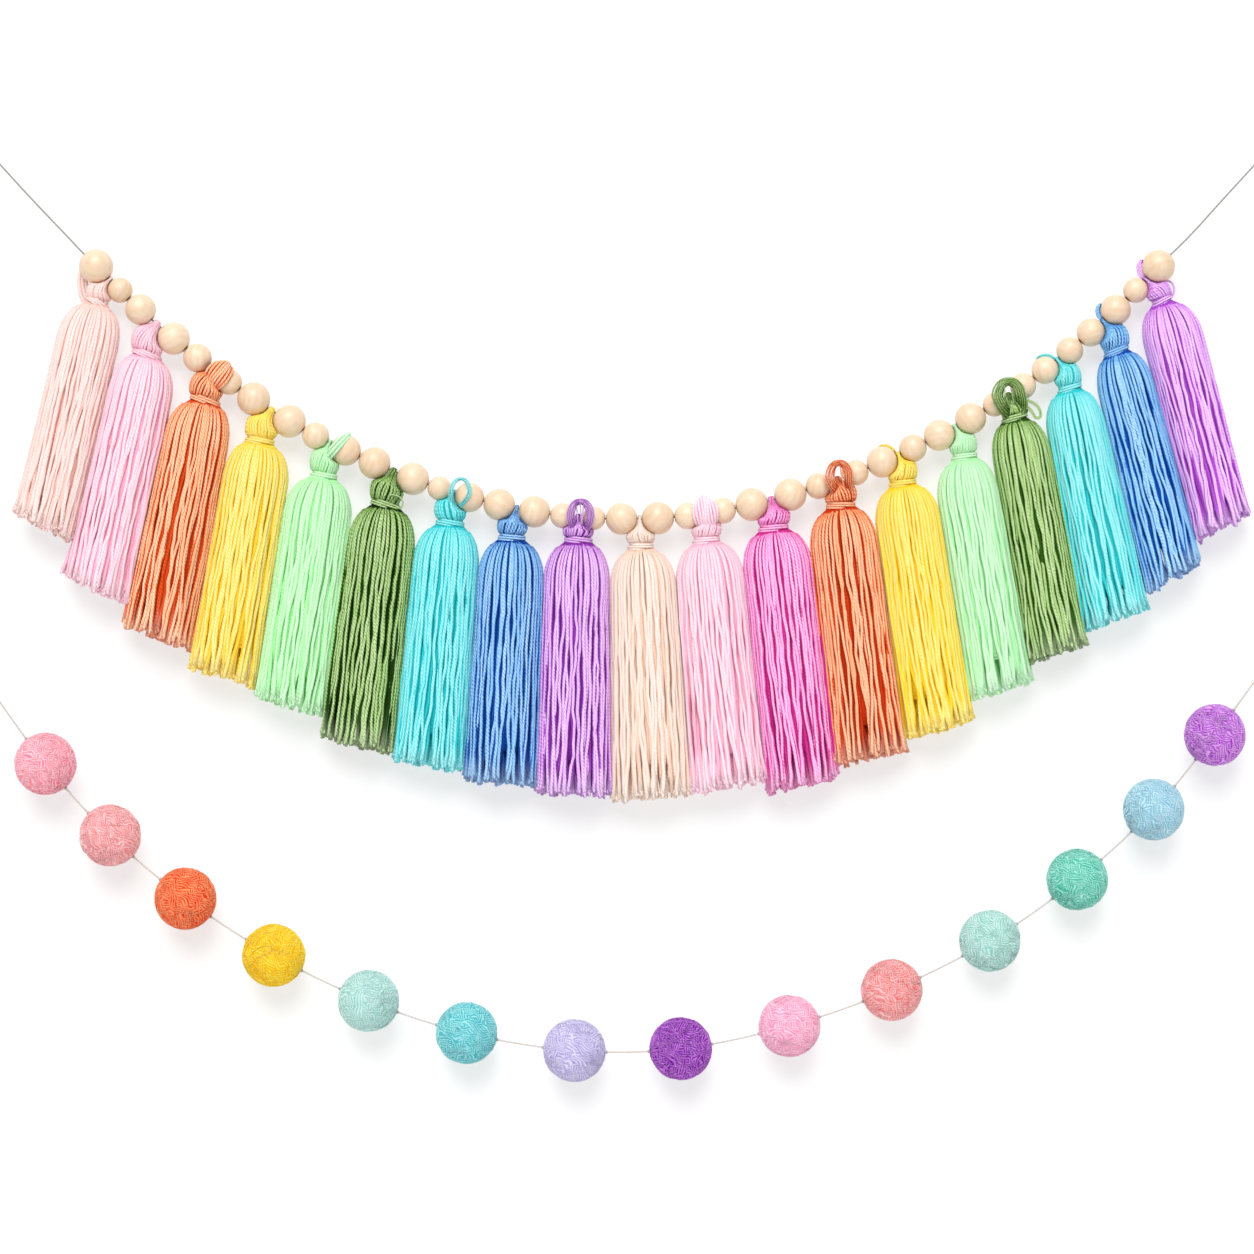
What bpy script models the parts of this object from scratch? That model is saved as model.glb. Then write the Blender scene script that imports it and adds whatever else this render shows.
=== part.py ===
"""Pom pom and tassel garland: two strings that hang one above the other.

The upper string carries yarn tassels between turned wooden beads. The lower one carries
balls of felted wool. Both run slack between four knotted hanging loops.

Metres, +Z up. The origin is the middle of the upper left hanging loop, +X runs along the
garland to the right, and +Y points into the wall that the garland hangs against.
"""
import math
from collections import namedtuple

import bmesh
import bpy
from mathutils import Matrix, Vector

MM = 0.001
MERGE_DISTANCE = 0.01 * MM

# Hanging loops, at the ends of both strings
HANG_SPAN = 631.5 * MM
LOWER_LEFT_DROP = 256.1 * MM
LOWER_RIGHT_DROP = 245.8 * MM
LOOP_RADIUS = 5.5 * MM
LOOP_CORD_RADIUS = 0.7 * MM
KNOT_RADIUS = 1.9 * MM
KNOT_REACH = 6.7 * MM
LOOP_SEGMENTS = 14
LOOP_SIDES = 5
KNOT_SEGMENTS = 8
KNOT_RINGS = 5

# Strings and the bores that they run in
STRING_RADIUS = 0.45 * MM
STRING_POINTS = 44
ROUTE_STEPS = 24
BORE_RADIUS = 1.3 * MM
WALL_Y = 9.5 * MM
LOWER_STRING_Y = -5.7 * MM

# Wooden beads: the two between neighbouring tassels touch, and are joined by a short neck
BEAD_NECK_RADIUS = 2.0 * MM
BEAD_BANDS = 4
ROUND_STEPS = 10
BALL_BANDS = 6
FIRST_BEAD_STATION = 76.0 * MM

# Tassels: a bound head over a skirt of locks
LOCKS = 10
BINDING_BELOW = 2.0 * MM
BINDING_ABOVE = 1.9 * MM
WAIST_RATIO = 0.80
HEAD_RINGS = ((0.30, 0.98), (0.50, 1.00), (0.70, 0.90), (0.86, 0.60))
HEAD_BEND = 2.0
NECK_RADIUS = 2.1 * MM
NECK_RISE = 1.4 * MM
NECK_TOP_RATIO = 0.8
EYE_RADIUS = 0.86 * MM
EYE_SIDES = 8
EYE_LENGTH = 30 * MM
SEAT_GAP = 0.45 * MM
DOME_HEIGHT = 20 * MM
DOME_ROUNDNESS = 2.0
SHOULDER_AT = 8 * MM
FOOT_TILT = 0.9
SKIRT_GAP = 0.5 * MM
SKIRT_FRONT = 12.0 * MM
SKIRT_BACK = WALL_Y - 0.5 * MM
OUTER_HALF_AT_WAIST = 16.0 * MM
OUTER_HALF_AT_FOOT = 16.4 * MM
LOCK_CORE = 0.12
LOCK_SIDE = 0.90
LOCK_PARTING = math.radians(1.6)
RAGGED_ENDS = (0.0, -2.4, 1.1, -0.8, 1.8, -1.6, 0.6, 2.2, -1.2, 1.4)

# Front loops, where a tassel's tying yarn lies over the beads
SADDLE_SEGMENTS = 14
SADDLE_SIDES = 6
YARN_LOOP_POINTS = 12
YARN_LOOP_SINK = 0.6

# Upper string, left to right: x and z in millimetres
UPPER_ROUTE = (
    (6.2, -6.4), (25.2, -27.2), (41.7, -44.6), (58.7, -62.3), (80.5, -83.4), (107.7, -106.5),
    (134.3, -125.9), (163.0, -143.1), (193.0, -157.1), (224.1, -169.3), (254.1, -177.5),
    (283.2, -182.6), (312.8, -184.3), (345.3, -182.8), (376.4, -177.3), (408.9, -168.3),
    (439.4, -156.7), (466.1, -144.3), (493.2, -129.3), (519.4, -111.5), (538.8, -95.5),
    (557.8, -78.1), (572.3, -63.0), (588.8, -46.8), (605.8, -28.1), (625.6, -6.6),
)

# Felt balls on the lower string, left to right: middle x and z, and diameter, in millimetres
Ball = namedtuple("Ball", "x z diameter colour")
FELT_BALLS = (
    Ball(34.3, -302.9, 29.6, (0.90, 0.30, 0.42)),
    Ball(65.7, -337.5, 29.4, (0.91, 0.33, 0.36)),
    Ball(102.0, -368.1, 29.6, (0.93, 0.16, 0.07)),
    Ball(144.7, -395.6, 30.0, (0.94, 0.66, 0.03)),
    Ball(190.6, -417.6, 29.4, (0.39, 0.70, 0.66)),
    Ball(238.1, -433.1, 29.4, (0.12, 0.54, 0.55)),
    Ball(290.3, -441.6, 30.0, (0.60, 0.54, 0.82)),
    Ball(341.7, -440.7, 30.0, (0.30, 0.05, 0.47)),
    Ball(394.3, -429.7, 29.6, (0.88, 0.34, 0.56)),
    Ball(443.8, -412.3, 29.4, (0.85, 0.20, 0.22)),
    Ball(491.3, -388.5, 29.4, (0.35, 0.69, 0.60)),
    Ball(533.5, -358.9, 29.4, (0.09, 0.53, 0.36)),
    Ball(570.5, -325.0, 29.4, (0.35, 0.64, 0.82)),
    Ball(600.1, -288.9, 29.4, (0.45, 0.12, 0.66)),
)
LOWER_START = (5.3, -263.3)
LOWER_END = (626.5, -253.2)

# Tassels, left to right, in millimetres and degrees: the beads on each side of its place on the
# string, the room between them, the way from the string to the waist, the skirt's lean and
# length, and the head's width
Tassel = namedtuple("Tassel", "left_bead gap right_bead shift drop lean length head colour")
TASSELS = (
    Tassel(16.6, 2.0, 12.2, -5.8, 11.0, -13.0, 110.5, 13.0, (0.92, 0.66, 0.62)),
    Tassel(15.0, 6.0, 15.8, -4.7, 15.0, -13.2, 114.8, 16.8, (0.95, 0.55, 0.74)),
    Tassel(14.0, 6.2, 12.4, -4.2, 14.4, -10.8, 115.6, 17.0, (0.86, 0.24, 0.11)),
    Tassel(16.2, 4.4, 16.0, -5.7, 14.9, -9.2, 114.2, 16.0, (0.95, 0.72, 0.09)),
    Tassel(13.2, 2.0, 15.0, -2.9, 16.1, -8.6, 111.3, 14.5, (0.40, 0.88, 0.46)),
    Tassel(15.6, 4.4, 15.8, -3.8, 16.3, -7.2, 115.4, 16.5, (0.20, 0.44, 0.09)),
    Tassel(11.8, 2.0, 14.4, -1.5, 14.8, -4.7, 116.3, 15.5, (0.10, 0.72, 0.77)),
    Tassel(15.4, 2.0, 15.4, -2.5, 14.3, -3.1, 116.9, 15.0, (0.11, 0.29, 0.79)),
    Tassel(12.2, 3.4, 11.4, -0.1, 11.1, -1.3, 121.3, 15.3, (0.51, 0.20, 0.80)),
    Tassel(15.4, 2.1, 15.8, 0.5, 13.6, 2.5, 119.7, 14.0, (0.95, 0.76, 0.60)),
    Tassel(13.0, 4.4, 12.8, 0.4, 13.0, 6.0, 118.1, 14.8, (0.96, 0.58, 0.71)),
    Tassel(16.0, 3.4, 15.8, 1.0, 13.7, 6.0, 124.0, 16.5, (0.93, 0.19, 0.67)),
    Tassel(12.6, 6.8, 12.4, 1.6, 12.6, 6.9, 121.4, 16.0, (0.87, 0.26, 0.13)),
    Tassel(15.2, 2.0, 13.4, 1.9, 13.9, 8.7, 118.8, 15.0, (0.95, 0.69, 0.08)),
    Tassel(15.2, 2.0, 15.2, 4.4, 14.5, 9.5, 112.8, 13.9, (0.40, 0.88, 0.50)),
    Tassel(11.6, 4.4, 12.8, 2.9, 10.8, 10.0, 114.3, 14.5, (0.19, 0.40, 0.08)),
    Tassel(13.4, 2.0, 13.2, 5.7, 13.6, 11.2, 112.5, 13.6, (0.12, 0.75, 0.80)),
    Tassel(13.8, 2.0, 14.8, 6.4, 14.5, 15.4, 111.3, 14.7, (0.09, 0.27, 0.81)),
    Tassel(12.2, 2.0, 16.0, 7.8, 10.7, 14.3, 111.6, 12.1, (0.56, 0.22, 0.80)),
)

# Tying yarn that lies over the string as a band, by tassel number, in millimetres and degrees:
# how far along the string, its width there, thickness, reach from the string and slant
Saddle = namedtuple("Saddle", "along width thickness reach slant")
SADDLES = {
    3: Saddle(3.2, 12.0, 2.6, 8.2, 0.0),
    5: Saddle(4.4, 4.8, 1.6, 10.0, 15.0),
    11: Saddle(0.0, 12.6, 3.0, 9.3, 0.0),
}

# Tying yarn that stands as a ring in front of the beads, by tassel number, in millimetres:
# how far along, width, yarn thickness, and its rise over the string and fall below it
YarnLoop = namedtuple("YarnLoop", "along width thickness rise fall")
YARN_LOOPS = {
    7: YarnLoop(3.8, 11.2, 2.4, 7.4, 6.5),
    9: YarnLoop(1.0, 13.8, 4.4, 9.0, 6.5),
    13: YarnLoop(0.5, 13.6, 4.6, 9.4, 6.0),
    16: YarnLoop(-0.6, 17.0, 6.2, 8.5, 9.4),
}

WOOD_COLOUR = (0.88, 0.70, 0.47)
STRING_COLOUR = (0.62, 0.60, 0.57)


def clear_scene():
    for old in list(bpy.data.objects):
        bpy.data.objects.remove(old, do_unlink=True)


def new_collection(name):
    group = bpy.data.collections.new(name)
    bpy.context.scene.collection.children.link(group)
    return group


def material(name, colour, roughness):
    made = bpy.data.materials.new(name)
    made.use_nodes = True
    shader = made.node_tree.nodes["Principled BSDF"]
    shader.inputs["Base Color"].default_value = (*colour, 1.0)
    shader.inputs["Roughness"].default_value = roughness
    shader.inputs["Metallic"].default_value = 0.0
    return made


def add_object(name, mesh, group, finish):
    made = bpy.data.objects.new(name, mesh)
    group.objects.link(made)
    if finish is not None:
        made.data.materials.append(finish)
    return made


def mesh_from(bm, name):
    bmesh.ops.recalc_face_normals(bm, faces=bm.faces)
    mesh = bpy.data.meshes.new(name)
    bm.to_mesh(mesh)
    bm.free()
    return mesh


# The strings

def smooth_curve(route, y):
    """Points close together on one smooth curve through the route's own points."""
    knots = [Vector((x * MM, y, z * MM)) for x, z in route]
    knots = [2 * knots[0] - knots[1]] + knots + [2 * knots[-1] - knots[-2]]
    curve = []
    for before, start, end, after in zip(knots, knots[1:], knots[2:], knots[3:]):
        for step in range(ROUTE_STEPS):
            t = step / ROUTE_STEPS
            curve.append(0.5 * (2 * start + (end - before) * t
                                + (2 * before - 5 * start + 4 * end - after) * t ** 2
                                + (3 * start - before - 3 * end + after) * t ** 3))
    curve.append(knots[-2])
    return curve


def stations_of(curve):
    """The distance along the curve at each of its points."""
    stations = [0.0]
    for here, there in zip(curve, curve[1:]):
        stations.append(stations[-1] + (there - here).length)
    return stations


def point_at(curve, stations, station):
    for index in range(1, len(curve)):
        if stations[index] >= station:
            part = (station - stations[index - 1]) / (stations[index] - stations[index - 1])
            return curve[index - 1].lerp(curve[index], part)
    return curve[-1].copy()


def build_string(name, curve, stations, group, finish):
    data = bpy.data.curves.new(name, "CURVE")
    data.dimensions = "3D"
    data.bevel_depth = STRING_RADIUS
    data.bevel_resolution = 2
    data.use_fill_caps = True
    spline = data.splines.new("POLY")
    spline.points.add(STRING_POINTS - 1)
    for index, point in enumerate(spline.points):
        place = point_at(curve, stations, stations[-1] * index / (STRING_POINTS - 1))
        point.co = (*place, 1.0)
    return add_object(name, data, group, finish)


# The hanging loops

def build_hanging_loop(name, centre, string_end, group, finish):
    """A ring that lies in the garland's plane, with its knot where the string begins."""
    to_string = (string_end - centre).normalized()
    bpy.ops.mesh.primitive_torus_add(
        location=centre, rotation=(math.pi / 2, 0, 0), major_radius=LOOP_RADIUS,
        minor_radius=LOOP_CORD_RADIUS, major_segments=LOOP_SEGMENTS, minor_segments=LOOP_SIDES)
    ring = move_to(bpy.context.object, name, group, finish)
    bpy.ops.mesh.primitive_uv_sphere_add(
        location=centre + to_string * KNOT_REACH, radius=KNOT_RADIUS,
        segments=KNOT_SEGMENTS, ring_count=KNOT_RINGS)
    knot = move_to(bpy.context.object, name + "_knot", CUTTERS, finish)
    combine(ring, knot, "UNION")
    return ring


def move_to(made, name, group, finish):
    """Name an object that an operator made, and put it into its collection."""
    made.name = name
    made.data.name = name
    for holder in list(made.users_collection):
        holder.objects.unlink(made)
    group.objects.link(made)
    made.data.materials.append(finish)
    return made


def combine(target, other, operation):
    step = target.modifiers.new(other.name, "BOOLEAN")
    step.operation = operation
    step.solver = "EXACT"
    step.object = other
    other.hide_render = True
    other.display_type = "WIRE"


# Turned pieces: the wooden beads and the felt balls

def sphere_arc(radius, middle, top_opening, bottom_opening, bands):
    """Half a circle beside the axis, from one opening's rim down to the other's."""
    start = math.asin(top_opening / radius)
    end = math.pi - math.asin(bottom_opening / radius)
    arc = []
    for band in range(bands + 1):
        angle = start + (end - start) * band / bands
        arc.append((radius * math.sin(angle), middle + radius * math.cos(angle)))
    return arc


def turned(name, outline, location, axis, group, finish):
    """A bored solid of revolution about the given axis."""
    bm = bmesh.new()
    points = [bm.verts.new((radius, 0, height)) for radius, height in outline]
    for here, there in zip(points, points[1:] + points[:1]):
        bm.edges.new((here, there))
    mesh = bpy.data.meshes.new(name)
    bm.to_mesh(mesh)
    bm.free()
    made = add_object(name, mesh, group, finish)
    made.location = location
    made.rotation_mode = "QUATERNION"
    made.rotation_quaternion = axis.to_track_quat("Z", "Y")
    screw = made.modifiers.new("Turn", "SCREW")
    screw.axis = "Z"
    screw.steps = ROUND_STEPS
    screw.render_steps = ROUND_STEPS
    screw.use_merge_vertices = True
    screw.merge_threshold = MERGE_DISTANCE
    screw.use_smooth_shade = True
    return made


def build_bead(name, middle, radius, axis, group, finish):
    outline = sphere_arc(radius, 0.0, BORE_RADIUS, BORE_RADIUS, BEAD_BANDS)
    return turned(name, outline, middle, axis, group, finish)


def build_bead_pair(name, first, first_radius, second, second_radius, group, finish):
    """Two beads that touch. The first is at the bottom of the turned outline."""
    apart = (second - first).length
    upper = sphere_arc(second_radius, apart, BORE_RADIUS, BEAD_NECK_RADIUS, BEAD_BANDS)
    lower = sphere_arc(first_radius, 0.0, BEAD_NECK_RADIUS, BORE_RADIUS, BEAD_BANDS)
    return turned(name, upper + lower, first, (second - first).normalized(), group, finish)


def build_ball(name, middle, radius, axis, group, finish):
    outline = sphere_arc(radius, 0.0, BORE_RADIUS, BORE_RADIUS, BALL_BANDS)
    return turned(name, outline, middle, axis, group, finish)


# The tassels

Layout = namedtuple("Layout", "row eye tangent waist foot down left_bead right_bead")


def lay_out_tassels(curve, stations):
    """Thread beads and tassels on the string one after another, and hang each tassel."""
    layouts = []
    station = FIRST_BEAD_STATION
    for row in TASSELS:
        if layouts:
            station += row.left_bead / 2 * MM
        left = point_at(curve, stations, station)
        station += (row.left_bead + row.gap) / 2 * MM
        eye = point_at(curve, stations, station)
        station += (row.gap + row.right_bead) / 2 * MM
        right = point_at(curve, stations, station)
        station += row.right_bead / 2 * MM
        waist = eye + Vector((row.shift * MM, 0, -row.drop * MM))
        lean = math.radians(row.lean)
        down = Vector((math.sin(lean), 0, -math.cos(lean)))
        foot = waist + down * row.length * MM
        layouts.append(Layout(row, eye, (right - left).normalized(), waist, foot, down, left, right))
    return layouts


def across(direction):
    """The direction square to a line that runs down in the garland's plane, to its right."""
    return Vector((-direction.z, 0, direction.x))


def room_beside_bead(point, side, bead, radius):
    """How far a head may swell to one side before it meets a bead."""
    to_bead = bead - point
    along = to_bead.dot(side)
    reach = (radius + SEAT_GAP) ** 2 - (to_bead.length_squared - along ** 2)
    if reach <= 0 or along <= 0:
        return math.inf
    return along - math.sqrt(reach)


def room_to_line(point, side, line_top, line_foot):
    """How far it is from a point to the line between two neighbouring skirts."""
    line = line_foot - line_top
    normal = Vector((line.z, 0, -line.x))
    return (line_top - point).dot(normal) / side.dot(normal)


def skirt_room(layouts, index, sign, station):
    """The half width that a skirt has on one side, so many metres below its waist."""
    here = layouts[index]
    other = index + sign
    if not 0 <= other < len(layouts):
        part = station / (here.row.length * MM)
        return OUTER_HALF_AT_WAIST + (OUTER_HALF_AT_FOOT - OUTER_HALF_AT_WAIST) * part
    neighbour = layouts[other]
    point = here.waist + here.down * station
    room = room_to_line(point, across(here.down) * sign,
                        (here.waist + neighbour.waist) / 2, (here.foot + neighbour.foot) / 2)
    return room - SKIRT_GAP / 2


def dome(station):
    """How far a skirt has swollen from its waist to its full width."""
    part = min((station - BINDING_BELOW) / (DOME_HEIGHT - BINDING_BELOW), 1.0)
    return (1 - (1 - part) ** DOME_ROUNDNESS) ** (1 / DOME_ROUNDNESS)


def lock_corner(layouts, index, station, angle, reach):
    """A point of a lock, at an angle round the skirt and a share of its width from the middle."""
    here = layouts[index]
    waist_radius = here.row.head / 2 * MM * WAIST_RATIO
    sign = 1 if math.cos(angle) > 0 else -1
    room = skirt_room(layouts, index, sign, station)
    depth = SKIRT_FRONT if math.sin(angle) < 0 else SKIRT_BACK
    half_width = waist_radius + (room - waist_radius) * dome(station)
    half_depth = waist_radius + (depth - waist_radius) * dome(station)
    middle = here.waist + here.down * station
    side = across(here.down) * math.cos(angle) * half_width
    return middle + (side + Vector((0, math.sin(angle) * half_depth, 0))) * reach


def lock_ring(bm, layouts, index, lock, station):
    """The four corners of a lock: its core, one side, its outer ridge and the other side."""
    middle_angle = math.tau * (lock + 0.5) / LOCKS
    half_angle = math.pi / LOCKS - LOCK_PARTING
    corners = ((0, LOCK_CORE), (-half_angle, LOCK_SIDE), (0, 1.0), (half_angle, LOCK_SIDE))
    return [bm.verts.new(lock_corner(layouts, index, station, middle_angle + turn, reach))
            for turn, reach in corners]


def bridge(bm, upper, lower):
    """Walls between two rings with the same number of corners."""
    for index in range(len(upper)):
        after = (index + 1) % len(upper)
        bm.faces.new((upper[index], upper[after], lower[after], lower[index]))


def add_lock(bm, layouts, index, lock, core, rim):
    """One lock of the skirt, from its root in the binding to its cut end."""
    row = layouts[index].row
    first, second = rim[lock], rim[(lock + 1) % LOCKS]
    side = math.cos(math.tau * (lock + 0.5) / LOCKS) * OUTER_HALF_AT_FOOT
    end = (row.length + RAGGED_ENDS[(lock + index) % len(RAGGED_ENDS)]) * MM
    end -= side * math.tan(math.radians(row.lean) * FOOT_TILT)
    inner, near, ridge, far = lock_ring(bm, layouts, index, lock, SHOULDER_AT)
    bm.faces.new((core, first, near, inner))
    bm.faces.new((first, ridge, near))
    bm.faces.new((first, second, ridge))
    bm.faces.new((second, far, ridge))
    bm.faces.new((second, core, inner, far))
    upper = [inner, near, ridge, far]
    for station in (DOME_HEIGHT, end):
        lower = lock_ring(bm, layouts, index, lock, station)
        bridge(bm, upper, lower)
        upper = lower
    bm.faces.new(upper)


def head_axis(here, height):
    """The head's middle at a share of its height, where it bends to the string, and its way up."""
    rise = here.eye - here.waist
    middle = here.waist + Vector((rise.x * height ** HEAD_BEND, 0, rise.z * height))
    up = Vector((rise.x * HEAD_BEND * height ** (HEAD_BEND - 1), 0, rise.z))
    return middle, up.normalized()


def head_ring(bm, here, middle, up, radius):
    """A ring of the head, pressed in where the two beads beside it are in the way."""
    right = across(-up)
    row = here.row
    beads = {1: (here.right_bead, row.right_bead / 2 * MM),
             -1: (here.left_bead, row.left_bead / 2 * MM)}
    points = []
    for lock in range(LOCKS):
        angle = math.tau * lock / LOCKS
        sign = 1 if math.cos(angle) > 0 else -1
        half_width = min(radius, room_beside_bead(middle, right * sign, *beads[sign]))
        side = right * math.cos(angle) * half_width
        points.append(bm.verts.new(middle + side + Vector((0, math.sin(angle) * radius, 0))))
    return points


def build_tassel(name, layouts, index, group, finish):
    here = layouts[index]
    head_radius = here.row.head / 2 * MM
    waist_radius = head_radius * WAIST_RATIO
    bm = bmesh.new()
    core = bm.verts.new(here.waist + here.down * BINDING_BELOW)
    rim = head_ring(bm, here, here.waist + here.down * BINDING_BELOW, -here.down, waist_radius)
    for lock in range(LOCKS):
        add_lock(bm, layouts, index, lock, core, rim)
    rings = [(here.waist - here.down * BINDING_ABOVE, -here.down, waist_radius)]
    for height, share in HEAD_RINGS:
        rings.append((*head_axis(here, height), head_radius * share))
    eye, up = head_axis(here, 1.0)
    rings.append((eye, up, NECK_RADIUS))
    rings.append((eye + up * NECK_RISE, up, NECK_RADIUS * NECK_TOP_RATIO))
    lower = rim
    for middle, direction, radius in rings:
        upper = head_ring(bm, here, middle, direction, radius)
        bridge(bm, lower, upper)
        lower = upper
    bm.faces.new(lower)
    return add_object(name, mesh_from(bm, name), group, finish)


def cut_eye(tassel, here):
    """The hole in the tassel's neck that the string runs through."""
    bm = bmesh.new()
    bmesh.ops.create_cone(bm, cap_ends=True, segments=EYE_SIDES, radius1=EYE_RADIUS,
                          radius2=EYE_RADIUS, depth=EYE_LENGTH)
    name = tassel.name + "_eye"
    cutter = add_object(name, mesh_from(bm, name), CUTTERS, None)
    cutter.location = here.eye
    cutter.rotation_mode = "QUATERNION"
    cutter.rotation_quaternion = here.tangent.to_track_quat("Z", "Y")
    combine(tassel, cutter, "DIFFERENCE")


def add_saddle(tassel, here, row, finish):
    """Tying yarn that lies over the string and the beads' edges as one flat band."""
    bpy.ops.mesh.primitive_torus_add(
        major_radius=(row.reach - row.thickness / 2) * MM, minor_radius=row.thickness / 2 * MM,
        major_segments=SADDLE_SEGMENTS, minor_segments=SADDLE_SIDES)
    band = move_to(bpy.context.object, tassel.name + "_band", CUTTERS, finish)
    turn = here.tangent.to_track_quat("Z", "Y").to_matrix().to_4x4()
    slant = Matrix.Rotation(math.radians(row.slant), 4, "Y")
    widen = Matrix.Diagonal((1, 1, row.width / row.thickness, 1))
    place = Matrix.Translation(here.eye + here.tangent * row.along * MM)
    band.data.transform(place @ slant @ turn @ widen)
    combine(tassel, band, "UNION")


def add_yarn_loop(tassel, here, row, finish):
    """Tying yarn that stands as a ring on the beads' fronts, with its foot in the head."""
    yarn = row.thickness / 2 * MM
    bead = max(here.row.left_bead, here.row.right_bead) / 2 * MM
    clear = bead + yarn + SEAT_GAP
    head_radius = here.row.head / 2 * MM
    top = row.rise * MM - yarn
    bottom = -row.fall * MM
    data = bpy.data.curves.new(tassel.name + "_loop", "CURVE")
    data.dimensions = "3D"
    data.bevel_depth = yarn
    data.bevel_resolution = 1
    spline = data.splines.new("POLY")
    spline.points.add(YARN_LOOP_POINTS - 1)
    spline.use_cyclic_u = True
    for index, point in enumerate(spline.points):
        angle = math.tau * index / YARN_LOOP_POINTS
        sideways = row.along * MM + (row.width / 2 * MM - yarn) * math.cos(angle)
        height = (top + bottom) / 2 + (top - bottom) / 2 * math.sin(angle)
        sideways += here.row.shift * MM * min(height / bottom, 1) if height < 0 else 0
        off_string = height * here.tangent.x - sideways * here.tangent.z
        forward = math.sqrt(max(clear ** 2 - off_string ** 2, 0))
        if height < 0:
            forward = max(forward, head_radius - yarn * YARN_LOOP_SINK)
        point.co = (*(here.eye + Vector((sideways, -forward, height))), 1.0)
    ring = add_object(data.name, data, CUTTERS, None)
    combine(tassel, as_mesh(ring, finish), "UNION")


def as_mesh(tube, finish):
    """A mesh object in place of a curve, so that it can be joined to a solid."""
    bpy.context.view_layer.update()
    evaluated = tube.evaluated_get(bpy.context.evaluated_depsgraph_get())
    mesh = bpy.data.meshes.new_from_object(evaluated)
    bm = bmesh.new()
    bm.from_mesh(mesh)
    bmesh.ops.remove_doubles(bm, verts=bm.verts, dist=MERGE_DISTANCE)
    bmesh.ops.recalc_face_normals(bm, faces=bm.faces)
    bm.to_mesh(mesh)
    bm.free()
    name = tube.name
    place = tube.matrix_world.copy()
    bpy.data.objects.remove(tube, do_unlink=True)
    made = add_object(name, mesh, CUTTERS, finish)
    made.matrix_world = place
    return made


# The whole garland

def build_upper(group, string_finish):
    wood = material("Wood", WOOD_COLOUR, 0.55)
    curve = smooth_curve(UPPER_ROUTE, 0.0)
    stations = stations_of(curve)
    build_string("string_upper", curve, stations, group, string_finish)
    layouts = lay_out_tassels(curve, stations)
    for index, here in enumerate(layouts):
        number = index + 1
        yarn = material("Yarn_%02d" % number, here.row.colour, 0.9)
        tassel = build_tassel("tassel_%02d" % number, layouts, index, group, yarn)
        if number in SADDLES:
            add_saddle(tassel, here, SADDLES[number], yarn)
        if number in YARN_LOOPS:
            add_yarn_loop(tassel, here, YARN_LOOPS[number], yarn)
        cut_eye(tassel, here)
    first, last = layouts[0], layouts[-1]
    build_bead("beads_00", first.left_bead, first.row.left_bead / 2 * MM, first.tangent, group, wood)
    for number, (here, after) in enumerate(zip(layouts, layouts[1:]), 1):
        build_bead_pair("beads_%02d" % number, here.right_bead, here.row.right_bead / 2 * MM,
                        after.left_bead, after.row.left_bead / 2 * MM, group, wood)
    build_bead("beads_%02d" % len(layouts), last.right_bead, last.row.right_bead / 2 * MM,
               last.tangent, group, wood)
    return curve


def build_lower(group, string_finish):
    middles = [(ball.x, ball.z) for ball in FELT_BALLS]
    curve = smooth_curve([LOWER_START] + middles + [LOWER_END], LOWER_STRING_Y)
    build_string("string_lower", curve, stations_of(curve), group, string_finish)
    for number, ball in enumerate(FELT_BALLS, 1):
        felt = material("Felt_%02d" % number, ball.colour, 0.95)
        index = number * ROUTE_STEPS
        axis = (curve[index + 1] - curve[index - 1]).normalized()
        build_ball("felt_ball_%02d" % number, curve[index], ball.diameter / 2 * MM, axis, group, felt)
    return curve


def build_hanging_loops(upper, lower, group, finish):
    ends = (
        ("hanging_loop_upper_left", Vector((0, 0, 0)), upper[0]),
        ("hanging_loop_upper_right", Vector((HANG_SPAN, 0, 0)), upper[-1]),
        ("hanging_loop_lower_left", Vector((0, LOWER_STRING_Y, -LOWER_LEFT_DROP)), lower[0]),
        ("hanging_loop_lower_right", Vector((HANG_SPAN, LOWER_STRING_Y, -LOWER_RIGHT_DROP)), lower[-1]),
    )
    for name, centre, string_end in ends:
        build_hanging_loop(name, centre, string_end, group, finish)


clear_scene()
GARLAND = new_collection("Pom_pom_and_tassel_garland")
CUTTERS = new_collection("Cutters")
STRING_FINISH = material("String", STRING_COLOUR, 0.8)
UPPER_CURVE = build_upper(GARLAND, STRING_FINISH)
LOWER_CURVE = build_lower(GARLAND, STRING_FINISH)
build_hanging_loops(UPPER_CURVE, LOWER_CURVE, GARLAND, STRING_FINISH)
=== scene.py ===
"""Looks of the pom pom and tassel garland, in metres, in the frame of its solids.

Two strings hang one above the other before a wall: yarn tassels between wooden beads on the
upper one, and balls of felted wool on the lower one. The origin is the middle of the upper left
hanging loop, +X runs along the garland to the right and +Y points into the wall.
"""
import math
from collections import namedtuple

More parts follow.
